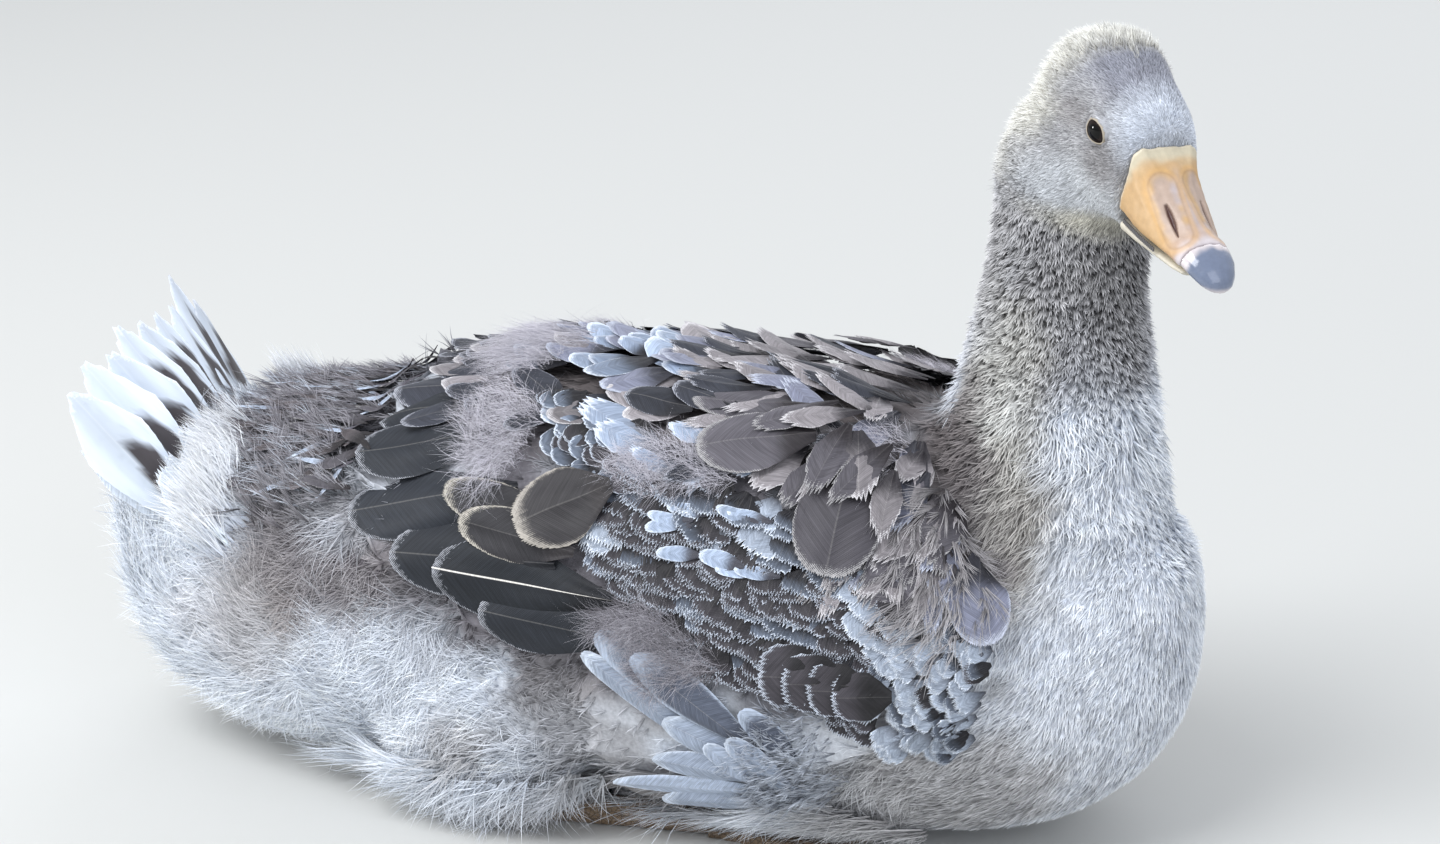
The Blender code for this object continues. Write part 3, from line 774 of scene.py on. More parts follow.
@dataclass
class Coat:
    """One piece of the downy coat, grown from the skin over the solids that own it.

    Longer, wider and deeper change the tufts against what grows there, swirl turns them about (in radians)
    and lifted roots them above the coat instead of in the skin. Aim is a way that they point, whatever the
    body's is. With only, they grow where those patches hold; with side -1 or 1, on the right or the left.
    Patchy is how much one tuft is lighter or darker than the next.
    """

    name: str
    owners: tuple[str, ...]
    tuft: Tuft
    count: int
    slot: str
    seed: int
    only: tuple[Patch, ...] = ()
    longer: float = 1.0
    wider: float = 1.0
    deeper: float = 1.0
    swirl: float = 0.35
    lifted: float = 0.0
    aim: Triple | None = None
    side: int = 0
    dye: tuple[float, ...] | None = None
    variants: int = 6
    patchy: float = 0.11

    def build(self, body: Body, finish: Material) -> None:
        """Grows the piece.

        Args:
            body: the form it grows on.
            finish: the down's material.
        """
        rng = np.random.default_rng(self.seed)
        chosen = np.flatnonzero(np.isin(body.owners, self.owners))
        if self.side:
            chosen = chosen[body.outer[body.faces[chosen]].mean(1)[:, 1] * self.side > 0]
        faces = body.faces[chosen]
        corners = body.outer[faces]
        middles = corners.mean(1)
        area = np.linalg.norm(np.cross(corners[:, 1] - corners[:, 0], corners[:, 2] - corners[:, 0]), axis=1)
        weight = area / 2 * growth(middles)[:, 3]
        if self.only:
            weight = weight * np.max([patch.weight(middles) for patch in self.only], axis=0)
        total = np.cumsum(weight)
        count = int(self.count * FULLNESS)
        picks = np.searchsorted(total, (np.arange(count) + rng.random(count)) / count * total[-1])
        picks = np.minimum(picks, len(faces) - 1)
        share = rng.dirichlet((1, 1, 1), count)[:, :, None]
        outer, normal, root, where = (
            (values * share).sum(1) for values in (
                body.outer[faces[picks]], body.normals[faces[picks]], body.skin[faces[picks]],
                body.unwrap(chosen)[picks]))
        clear = np.ones(count, bool)
        for axes, centre in HEAD.sockets.values():
            local = (root - centre) @ axes
            clear &= (local[:, 1] < 0) | (almond_reach(local[:, 0] + EYE_CLEAR, local[:, 2]) > EYE_BARE)
        if self.lifted:
            root = outer + normal * self.lifted * rng.uniform(0.3, 1.0, (count, 1))
        mesh = self.tufts(outer[clear], unit(normal[clear]), root[clear], where[clear], rng)
        place(self.name, mesh, finish)

    def tufts(self, outer: Array, normal: Array, root: Array, where: Array,
              rng: np.random.Generator) -> Mesh:
        """Sets a tuft at each root and joins them all in one mesh.

        Args:
            outer: the outer form above each root.
            normal: the way out from the body there.
            root: the root, on the skin.
            where: the root's place on the unwrapped skin.
            rng: the piece's own random numbers.

        Returns:
            The mesh, with its colours and its map.
        """
        count = len(root)
        grown = growth(outer)
        way = lie(outer, normal)
        if self.aim:
            way = np.tile(unit(np.array(self.aim)), (count, 1))
            way[:, 1] *= np.sign(-outer[:, 1])
        turn = self.swirl * ((grain(outer, 0.016, self.seed) - 0.5) * 3 + rng.normal(size=count) * 0.6)
        way = unit(way * np.cos(turn)[:, None] + np.cross(normal, way) * np.sin(turn)[:, None])
        length = grown[:, 0] * self.longer * rng.uniform(0.7, 1.25, count)
        rise = np.clip(grown[:, 2] * self.deeper * rng.uniform(0.55, 1.25, count) / length, 0.05, 0.92)
        ahead = unit(way * np.sqrt(1 - rise ** 2)[:, None] + normal * rise[:, None])
        across = unit(np.cross(normal, ahead))
        up = np.cross(ahead, across)
        half = grown[:, 1] * self.wider * rng.uniform(0.7, 1.3, count) / 2
        tip, base = markings(outer)
        if self.dye:
            tip = tip * 0.2 + np.array(self.dye[:3]) * 0.8
            base = base * 0.2 + np.array(self.dye[3:]) * 0.8
        tone = rng.normal(1, self.patchy, (count, 1)) * (0.86 + 0.28 * grain(outer, 0.006, 3)[:, None])
        tip, base = tip * tone, base * tone
        kinds = rng.integers(0, self.variants, count)
        points, tints, faces, maps, start = [], [], [], [], 0
        for kind in range(self.variants):
            own = kinds == kind
            line, edge, share, cut = self.tuft.value.template(self.seed * 10 + kind)
            axes = np.stack([ahead[own], across[own], up[own]], 1)
            bent = line[None] * length[own, None, None] + edge[None] * half[own, None, None]
            bent[:, :, 2] -= share ** 2 * (0.22 * rise * length)[own, None]
            points.append((root[own, None] + bent @ axes).reshape(-1, 3))
            # Each tuft darkens from tip to root: partly the down's own darker base, partly painted shade deep
            # in the coat.
            colour = base[own, None] + (tip - base)[own, None] * (share ** 1.2)[None, :, None]
            tints.append(colour.reshape(-1, 3))
            many = int(own.sum())
            faces.append((cut[None] + np.arange(many)[:, None, None] * len(line)).reshape(-1, 3) + start)
            small = np.stack([share[cut] - 0.5, edge[cut, 1] * 0.5], -1) * BAKE_PATCH
            maps.append((where[own, None, None] + small[None]).reshape(-1, 2))
            start += many * len(line)
        points = np.vstack(points)
        points[:, 2] = np.maximum(points[:, 2], FLOOR_CLEAR)
        points[:, 1] = np.clip(points[:, 1], -WIDEST, WIDEST)
        mesh = mesh_from(points, np.vstack(faces))
        write_tint(mesh, np.vstack(tints))
        write_map(mesh, "OFBake", np.clip(np.vstack(maps), 0, 1))
        return mesh


# ---------------------------------------------------------------- vaned feathers


@dataclass(frozen=True)
class Cut:
    """The outline of one kind of vaned feather.

    Round_off is the share of the length over which the end is rounded, taper how much narrower it grows
    towards the tip, teeth how deep the barbs part at the edge, and cup how far the edges curve down. Rows and
    columns are its faces along and across. A tip with point 0 ends round, with point 1 like a blade. The vane
    is widest from the share belly of its length.
    """

    round_off: float
    taper: float
    teeth: float
    cup: float
    rows: int
    columns: int
    point: float = 0.0
    belly: float = 0.72

    def grid(self) -> tuple[Array, Array]:
        """Models the flat vane.

        Returns:
            Its vertices, from -1 to 1 each way, and its triangles.
        """
        bm = bmesh.new()
        bmesh.ops.create_grid(bm, x_segments=self.rows, y_segments=self.columns, size=1.0)
        faces = triangulated(bm)
        grid = np.array([v.co for v in bm.verts])
        bm.free()
        return grid, faces


class Vane(Enum):
    """The kinds of vaned feather."""

    ROUND = Cut(round_off=0.50, taper=0.04, teeth=0.024, cup=0.14, rows=14, columns=76, belly=0.50)
    LONG = Cut(round_off=0.34, taper=0.22, teeth=0.004, cup=0.24, rows=24, columns=16)
    POINTED = Cut(round_off=0.36, taper=0.34, teeth=0.020, cup=0.16, rows=24, columns=14, point=0.75)
    COMB = Cut(round_off=0.26, taper=0.0, teeth=0.14, cup=0.06, rows=2, columns=28, belly=0.40)
    GREATER = Cut(round_off=0.34, taper=0.0, teeth=0.055, cup=0.08, rows=8, columns=30, belly=0.45)
    FRAYED = Cut(round_off=0.40, taper=0.25, teeth=0.085, cup=0.20, rows=7, columns=14)
    DOWNY = Cut(round_off=0.44, taper=0.30, teeth=0.11, cup=0.04, rows=6, columns=18, point=0.45, belly=0.5)
    SCALE = Cut(round_off=0.40, taper=0.05, teeth=0.030, cup=0.06, rows=5, columns=12, belly=0.5)
    PETAL = Cut(round_off=0.46, taper=0.05, teeth=0.012, cup=0.10, rows=9, columns=12, belly=0.5)


@dataclass(frozen=True)
class Dye:
    """A feather's colours.

    They are the vane, its edge and how wide that is, how plainly the shaft shows, and the base and the share
    of the length that it takes. The dark base is partly the feather's own downy base and partly painted shade
    where the feathers overlap.
    """

    vane: str
    edge: str
    edge_wide: float = 0.10
    shaft: float = 0.3
    base: str = "#8F857E"
    base_to: float = 0.3


Spot = tuple[float, float]  # a place along the body, in metres, and degrees round it


@dataclass(frozen=True)
class Feather:
    """One large feather that shows by itself: its root, tip, width, kind and colours, and how it lies."""

    root: Spot
    tip: Spot
    wide: float
    vane: Vane
    dye: Dye
    lift: float
    tip_lift: float = 0.0


def feathers(*rows: tuple) -> tuple[Feather, ...]:
    """Makes large feathers from rows of millimetres and degrees.

    Args:
        rows: the root's and the tip's place along the body and angle round it, the width, the kind, the
            colours, how high the feather lies and how much higher its tip does.

    Returns:
        The feathers.
    """
    return tuple(Feather((x * MM, turn), (tip_x * MM, tip_turn), wide * MM, vane, dye, lift * MM, rise * MM)
                 for x, turn, tip_x, tip_turn, wide, vane, dye, lift, rise in rows)


def along(rows: Array, share: Array) -> Array:
    """Reads evenly spaced rows of numbers at a share of the way from the first to the last.

    Args:
        rows: the rows.
        share: one share from 0 to 1, or several.

    Returns:
        One row for each share.
    """
    knots = np.linspace(0, 1, len(rows))
    return np.stack([np.interp(share, knots, column) for column in np.transpose(rows)], -1)


class Plumage:
    """One piece made of many vaned feathers, each laid along the body from root to tip."""

    def __init__(self, name: str, body: Body, slot: str, seed: int) -> None:
        """Starts an empty piece.

        Args:
            name: the piece's name.
            body: the form its feathers lie on.
            slot: not used.
            seed: its own random numbers.
        """
        self.name, self.body, self.slot = name, body, slot
        self.rng = np.random.default_rng(seed)
        self.made: list[tuple[Array, ...]] = []

    def lay_each(self, large: tuple[Feather, ...], left: bool) -> None:
        """Lays large feathers one by one."""
        for one in large:
            self.lay(one.root, one.tip, one.wide, one.vane, one.dye, one.lift, one.tip_lift, left)

    def lay(self, root: Spot, tip: Spot, wide: float, vane: Vane, dye: Dye, lift: float, tip_lift: float,
            left: bool) -> None:
        """Lays a feather along the body's outer form.

        Args:
            root: the root's place along the body and its angle round it, in metres and degrees.
            tip: the same for the tip.
            wide: the feather's full width.
            vane: its kind.
            dye: its colours.
            lift: how far above the form it lies.
            tip_lift: how much further its tip stands off.
            left: whether it lies on the left side, as the right side's mirror image.
        """
        spots = along((root, tip), np.linspace(0, 1, 8))
        hits = [self.body.ray(x, 180 - angle if left else angle) for x, angle in spots]
        line, out = (np.array(rows) for rows in zip(*hits))
        for _ in range(3):
            out[1:-1] = (out[:-2] + out[1:-1] * 2 + out[2:]) / 4
            line[1:-1] = (line[:-2] + line[1:-1] * 2 + line[2:]) / 4
        self.shape(line, unit(out), wide, vane, dye, lift, tip_lift)

    def shape(self, line: Array, out: Array, wide: float, vane: Vane, dye: Dye, lift: float,
              tip_lift: float, twist: float = 0.0) -> None:
        """Shapes a feather about a middle line.

        Args:
            line: points along its shaft, from root to tip.
            out: the way its upper side faces at each.
            wide: its full width.
            vane: its kind.
            dye: its colours.
            lift: how far above the line it lies.
            tip_lift: how much further its tip stands off.
            twist: how far the vane turns about its shaft, in radians.
        """
        cut = vane.value
        ahead = unit(np.gradient(line, axis=0))
        out = unit(out - ahead * (ahead * out).sum(1, keepdims=True))
        across = np.cross(ahead, out)
        if twist:
            across = across * math.cos(twist) + out * math.sin(twist)
            out = np.cross(across, ahead)
        length = np.linalg.norm(np.diff(line, axis=0), axis=1).sum()
        grid, faces = cut.grid()
        s, t = (grid[:, 0] + 1) / 2, grid[:, 1]
        side = np.abs(t)
        column = np.rint((t + 1) / 2 * cut.columns)
        row = np.rint(s * cut.rows)
        # Every other column falls short and every other row draws in, so the edge is cut into barbs.
        uneven = self.rng.normal(size=cut.columns + 1)[column.astype(int)] * cut.teeth * 0.28
        ending = (1 - side ** (2.4 - 1.1 * cut.point) * 0.98) ** (0.5 + 0.5 * cut.point)
        share = s * (1 - cut.round_off * (1 - ending) - (column % 2) * cut.teeth + uneven)
        girth = smooth(share, -0.20, cut.belly) * (1 - cut.taper * share ** 2.2)
        girth *= 1 - (row % 2) * cut.teeth * 0.6
        over = wide / 2 * girth * t
        # The vane curves down to its edges, stands up a little along its shaft and is nowhere quite flat.
        rise = lift + tip_lift * share ** 2 - cut.cup * wide / 2 * side ** 2 * girth
        rise += 0.02 * wide * (1 - side) ** 4
        wave = self.rng.random(3) * 6
        rise += wide * 0.016 * np.sin(share * 8 + t * 3 + wave[0])
        rise += wide * 0.010 * np.sin(t * 7 - share * 4 + wave[1])
        points = along(line, share) + along(across, share) * over[:, None] + along(out, share) * rise[:, None]
        points[:, 2] = np.maximum(points[:, 2], FLOOR_CLEAR)
        tone = self.rng.normal(1, 0.12)
        # Towards its root each vane takes the dark base colour: partly its own downy base, partly painted
        # shade under the overlapping feathers.
        down = (1 - smooth(share, dye.base_to * 0.5, dye.base_to))[:, None]
        tint = linear(dye.vane) * tone * (1 - down) + linear(dye.base) * down
        tint *= (0.86 + 0.22 * smooth(share, 0.2, 0.9) * side)[:, None]
        tint = np.column_stack([tint, np.full(len(t), dye.edge_wide)])
        fringe = np.tile((*linear(dye.edge), dye.shaft), (len(t), 1))
        barb = (share * length + np.abs(over) * 0.9) / BARB_PITCH
        self.made.append((points, faces, tint, fringe, barb, np.stack([s, (t + 1) / 2], 1)))

    def finish(self, finish: Material, stands_for: tuple[str, ...] = ()) -> None:
        """Joins the feathers in one piece.

        Args:
            finish: the feathers' material.
            stands_for: the solids the piece is shown for.
        """
        points, cuts, tints, fringes, barbs, flats = zip(*self.made)
        starts = np.cumsum([0] + [len(rows) for rows in points[:-1]])
        faces = np.vstack([own + start for own, start in zip(cuts, starts)])
        mesh = mesh_from(np.vstack(points), faces)
        write_attribute(mesh, "Tint", np.vstack(tints))
        write_attribute(mesh, "Fringe", np.vstack(fringes))
        write_attribute(mesh, "Barb", np.concatenate(barbs))
        flat = np.vstack(flats)[faces]
        write_map(mesh, "Vane", flat)
        # Each feather has a cell of its own on the OFBake map, as its fringe needs more room than a tuft.
        across = math.ceil(math.sqrt(len(self.made)))
        cell = np.repeat(np.arange(len(self.made)), [len(own) for own in cuts])
        corner = np.stack([cell % across, cell // across], 1)[:, None]
        write_map(mesh, "OFBake", (corner + 0.06 + flat * 0.88) / across)
        place(self.name, mesh, finish, stands_for)


# The vanes' blue-grey and the bluish whites are partly the feathers' own grey and white and partly painted
# sheen of the sky.
BLUE = Dye("#8794A9", "#D8DFEA", 0.075, 0.06, base="#232328", base_to=0.72)
COVERT = Dye("#6A7382", "#D0D8E4", 0.066, 0.04, base="#222125", base_to=0.85)
PALE_BLUE = Dye("#A2B0C6", "#D6DFEC", 0.12, 0.04, base="#4A4A52", base_to=0.5)
PALE_COVERT = Dye("#A3ADBC", "#E6ECF4", 0.080, 0.04, base="#4A4C54", base_to=0.5)
COMB_BROWN = Dye("#444146", "#BCC3CF", 0.065, 0.04, base="#242325", base_to=0.75)
SLATE = Dye("#272A30", "#A3A5AC", 0.022, 0.08, base="#26272C")
SLATE_SHAFT = Dye("#1E2126", "#9B9DA4", 0.022, 0.95, base="#242529")
# Dark slate: the tertials' own colour, and painted shadow where it fills the back's lowest and rearmost rows.
SOFT_SLATE_AND_SHADOW = Dye("#34363E", "#A7A9B2", 0.05, 0.10, base="#242429", base_to=0.5)
BROWN = Dye("#59565C", "#A3A1A1", 0.065, 0.06, base="#2F2B2E", base_to=0.4)
CREAM_BROWN = Dye("#2E2D30", "#BDB7AC", 0.07, 0.06, base="#383537")
PALE_EDGED = Dye("#3B393B", "#A29C94", 0.14, 0.06, base="#3C393A")
GREY_BROWN = Dye("#8B8689", "#CBC8CA", 0.08, 0.08, base="#353236", base_to=0.45)
RUMP_BROWN = Dye("#554F51", "#938F94", 0.05, 0.05, base="#2B282A", base_to=0.6)
LILAC = Dye("#7F8294", "#B9BECC", 0.10, 0.06, base="#36363D", base_to=0.55)
PLUME = Dye("#98A5BA", "#D5DDEA", 0.14, 0.06, base="#6E7179", base_to=0.5)
WHITE_STREAK = Dye("#B4C0D3", "#E0E7F2", 0.10, 0.10, base="#56525A", base_to=0.6)
FLIGHT = Dye("#A2ADBF", "#C9D2DF", 0.10, 0.12, base="#767D8A")
FLIGHT_DARK = Dye("#5A606E", "#AFBACB", 0.26, 0.12, base="#4E525D")


@dataclass
class Wing:
    """A folded wing and the back feathers on its side."""

    body: Body
    left: bool = False
    coverts_above: tuple[Spot, ...] = ((0.148, 17), (0.075, 40), (0.000, 56), (-0.050, 68))
    coverts_below: tuple[Spot, ...] = ((0.139, -14), (0.088, 3), (0.030, 16), (-0.018, 36))
    covert_rows: int = 17
    coverts_in_row: int = 18
    tertials: tuple[Feather, ...] = feathers(
        (-70, 80, -113, 79, 24, Vane.LONG, SOFT_SLATE_AND_SHADOW, 1.2, 1.0),
        (-74, 70, -127, 69, 26, Vane.LONG, SOFT_SLATE_AND_SHADOW, 1.6, 1.0),
        (-72, 62, -128, 60, 28, Vane.LONG, SLATE, 1.6, 1.0),
        (-66, 53, -131, 46, 32, Vane.LONG, SLATE, 2.6, 0.5),
        (-52, 40, -131, 31, 35, Vane.LONG, SLATE, 1.6, 0.5),
        (-30, 24, -104, 22, 35, Vane.LONG, SLATE, 1.6, 0.8),
        (-4, 18, -83, 20, 38, Vane.LONG, SLATE_SHAFT, 2.2, 0.6),
        (4, 9, -62, 12, 30, Vane.LONG, SLATE, 0.5, 0.5),
    )
    brown: tuple[Feather, ...] = feathers(
        (-30, 31, -84, 38, 21, Vane.ROUND, CREAM_BROWN, 3.0, 1.0),
        (-22, 27, -74, 31, 22, Vane.ROUND, CREAM_BROWN, 3.6, 1.0),
        (-10, 42, -49, 31, 34, Vane.ROUND, PALE_EDGED, 6.0, 0.5),
        (60, 71, 10, 66, 20, Vane.ROUND, BROWN, 3.0, 1.0),
        (66, 60, 20, 52, 31, Vane.ROUND, BROWN, 7.0, 1.5),
        (112, 42, 98, 22, 30, Vane.DOWNY, BROWN, 2.6, 1.0),
        (12, 64, -18, 66, 17, Vane.PETAL, SOFT_SLATE_AND_SHADOW, 3.0, 1.5),
        (30, 66, 0, 70, 17, Vane.PETAL, SOFT_SLATE_AND_SHADOW, 3.4, 1.5),
        (64, 60, 46, 45, 18, Vane.FRAYED, GREY_BROWN, 3.0, 1.0),
        (54, 60, 36, 48, 16, Vane.FRAYED, BLUE, 2.6, 1.0),
        (74, 58, 60, 42, 18, Vane.FRAYED, BROWN, 2.8, 1.0),
        (84, 54, 82, 28, 36, Vane.ROUND, BROWN, 8.0, 0.5),
        (82, 62, 90, 44, 22, Vane.DOWNY, GREY_BROWN, 9.6, 1.0),
        (96, 60, 78, 42, 15, Vane.DOWNY, BROWN, 10.0, 1.0),
        (78, 63, 70, 43, 17, Vane.DOWNY, BROWN, 10.4, 1.0),
        (100, 54, 100, 37, 14, Vane.DOWNY, GREY_BROWN, 9.0, 1.0),
        (82, 68, 50, 61, 14, Vane.FRAYED, GREY_BROWN, 9.4, 1.0),
        (70, 70, 40, 58, 15, Vane.FRAYED, BROWN, 8.8, 1.0),
        (116, 40, 118, 19, 22, Vane.ROUND, BROWN, 3.0, 1.0),
        (124, 40, 132, 15, 24, Vane.DOWNY, GREY_BROWN, 3.0, 0.5),
        (134, 40, 146, 17, 26, Vane.ROUND, LILAC, 4.0, 0.5),
    )
    greater_from: Spot = (0.112, 4)
    greater_to: Spot = (0.088, 7)
    flight: tuple[Feather, ...] = feathers(
        (68, -25, -8, -29, 14, Vane.LONG, FLIGHT, 1.2, 1.0),
        (74, -31, 12, -33, 15, Vane.LONG, FLIGHT, 1.0, 1.0),
        (66, -22, 12, -19, 16, Vane.LONG, FLIGHT, 1.5, 1.0),
        (50, -20, -16, 6, 15, Vane.LONG, FLIGHT, 1.4, 1.0),
        (66, -20, 18, -8, 18, Vane.LONG, FLIGHT, 1.9, 1.4),
        (56, -10, -10, 10.5, 21, Vane.LONG, FLIGHT_DARK, 2.2, 1.4),
        (62, -13, 6, 7, 21, Vane.LONG, FLIGHT_DARK, 3.0, 1.6),
        (58, -22, 36, -12, 12, Vane.PETAL, FLIGHT, 4.2, 1.0),
        (72, -20, 46, -9, 14, Vane.PETAL, FLIGHT, 4.4, 1.0),
        (74, -12, 52, -2, 13, Vane.PETAL, FLIGHT_DARK, 4.8, 1.0),
        (80, -25, 58, -18, 13, Vane.PETAL, FLIGHT, 4.0, 1.0),
    )
    plumes: tuple[Feather, ...] = feathers(
        (4, 53, -36, 62, 22, Vane.FRAYED, PLUME, 3.0, 2.0),
        (8, 50, -26, 56, 18, Vane.FRAYED, PLUME, 3.6, 2.0),
        (30, 55, 4, 58, 12, Vane.FRAYED, PALE_BLUE, 3.4, 1.0),
        (16, 45, -8, 51, 9, Vane.FRAYED, PLUME, 4.0, 1.5),
    )
    petals: int = 10
    back_rows: int = 12
    back_in_row: int = 7
    gaps: float = 0.20  # the share of the back's feathers that are missing
    shoulder_count: int = 56

    def build(self, finish: Material) -> None:
        """Makes the wing's four pieces.

        Args:
            finish: the feathers' material.
        """
        side = "left" if self.left else "right"
        seed = 60 if self.left else 40
        tertials = Plumage("tertial_feathers_" + side, self.body, "slate_feather", seed)
        tertials.lay_each(self.tertials, self.left)
        tertials.finish(finish, ("tertials_" + side,))
        self.scapulars(Plumage("back_feathers_" + side, self.body, "mantle_feather", seed + 1)).finish(finish)
        self.coverts(Plumage("covert_feathers_" + side, self.body, "covert_feather", seed + 2)).finish(finish)
        flight = Plumage("flight_feathers_" + side, self.body, "flight_feather", seed + 3)
        flight.lay_each(self.flight, self.left)
        flight.finish(finish, ("primaries_" + side,))

    def scapulars(self, plumage: Plumage) -> Plumage:
        """Lays the back's feathers in rows that point at the tail, then the brown ones over them.

        Args:
            plumage: the piece that they join.

        Returns:
            The same piece.
        """
        rng = plumage.rng
        for row in range(self.back_rows):
            for place_in_row in range(self.back_in_row):
                x = -0.086 + 0.0165 * row + rng.normal() * 0.006
                angle = 62 + 6.4 * place_in_row + (row % 2) * 3.2 + rng.normal() * 3
                narrow = x > 0.020
                if rng.random() < self.gaps:
                    continue
                if narrow:
                    dye = (GREY_BROWN, SOFT_SLATE_AND_SHADOW, GREY_BROWN, LILAC, GREY_BROWN)[rng.integers(5)]
                    long, wide = rng.uniform(0.028, 0.040), rng.uniform(0.010, 0.016)
                # The lowest and rearmost back feathers are mostly dark slate: painted shadow under the rows
                # above them.
                elif angle < 74 or x < -0.062:
                    dye = (SOFT_SLATE_AND_SHADOW, GREY_BROWN, SOFT_SLATE_AND_SHADOW)[rng.integers(3)]
                    long, wide = rng.uniform(0.024, 0.032), rng.uniform(0.012, 0.017)
                else:
                    dye = (BLUE, LILAC, PALE_BLUE, BLUE, GREY_BROWN)[rng.integers(5)]
                    long, wide = rng.uniform(0.022, 0.029), rng.uniform(0.014, 0.018)
                tip = (x - long, angle + rng.normal(-2, 11 if narrow else 7))
                plumage.lay((x, angle), tip, wide, Vane.FRAYED if narrow else Vane.PETAL, dye,
                            (rng.uniform(0.2, 2.0) + row * 0.1) * MM, rng.uniform(1.0, 6.0) * MM, self.left)
        for _ in range(self.shoulder_count):
            x = rng.uniform(0.082, 0.130)
            angle = rng.uniform(36, 84 - 700 * (x - 0.082))
            dye = (LILAC, BROWN, GREY_BROWN, GREY_BROWN, LILAC)[rng.integers(5)]
            plumage.lay((x, angle), (x - rng.uniform(-0.008, 0.022), angle - rng.uniform(12, 24)),
                        rng.uniform(0.010, 0.019), Vane.DOWNY, dye, rng.uniform(1.2, 3.4) * MM,
                        rng.uniform(0.5, 3.4) * MM, self.left)
        plumage.lay_each(self.brown, self.left)
        return plumage

    def coverts(self, plumage: Plumage) -> Plumage:
        """Lays the small coverts in rows like roof tiles, the lowest row first, then the larger ones.

        Args:
            plumage: the piece that they join.

        Returns:
            The same piece.
        """
        rng = plumage.rng
        for row in range(self.covert_rows - 1, -1, -1):
            down = row / (self.covert_rows - 1)
            for i in range(self.coverts_in_row):
                share = max((i + 0.5 * (row % 2) + rng.normal() * 0.2) / self.coverts_in_row, 0) ** 1.25
                edges = along(self.coverts_above, share), along(self.coverts_below, share)
                spot = edges[0] * (1 - down) + edges[1] * down
                spot += rng.normal(size=2) * (0.0018, 1.2)
                size = 0.0105 + 0.005 * share + rng.normal() * 0.0014
                big = share > 0.72 and down < 0.45
                back = float(smooth(np.array(share), 0.02, 0.40))
                turn = math.radians((24 if big else 30 + 44 * back) + rng.normal() * 9)
                reach = (-size * math.cos(turn), -math.degrees(size * math.sin(turn) / 0.10))
                middle = 0.20 < share < 0.85 and down > 0.15
                # Brown coverts lie in the middle, blue-grey ones behind and pale ones in front.
                draw, brown = rng.random(), 0.74 if middle else 0.04 + 0.26 * back
                dye = COMB_BROWN if draw < brown else COVERT if draw < 0.22 + 0.73 * back else PALE_COVERT
                if big:
                    vane, wide = Vane.SCALE, size * rng.uniform(0.7, 0.95)
                else:
                    vane, wide = Vane.COMB, (8.5 + 10.0 * back) * MM * rng.uniform(0.8, 1.15)
                lift = 0.5 + (1 - down) * 1.8 + rng.random() * 0.6
                plumage.lay(tuple(spot), tuple(spot + reach), wide, vane, dye, lift * MM,
                            rng.uniform(0.4, 2.6) * MM, self.left)
        for i in range(4):
            share = i / 3
            x, angle = along((self.greater_from, self.greater_to), share)
            plumage.lay((x, angle), (x - 0.030 + 0.006 * (1 - share), angle - 1), 0.021 + 0.006 * share,
                        Vane.GREATER, COMB_BROWN, 5.0 * MM - 0.3 * MM * i, 1.0 * MM, self.left)
        for _ in range(self.petals):
            x, angle = rng.uniform(0.012, 0.056), rng.uniform(26, 42)
            plumage.lay((x + 0.009, angle - 1), (x - 0.010, angle + rng.normal(-1, 3)),
                        rng.uniform(0.0055, 0.008), Vane.PETAL, PALE_BLUE, rng.uniform(3.0, 4.2) * MM,
                        rng.uniform(0.4, 1.2) * MM, self.left)
        plumage.lay_each(self.plumes, self.left)
        return plumage


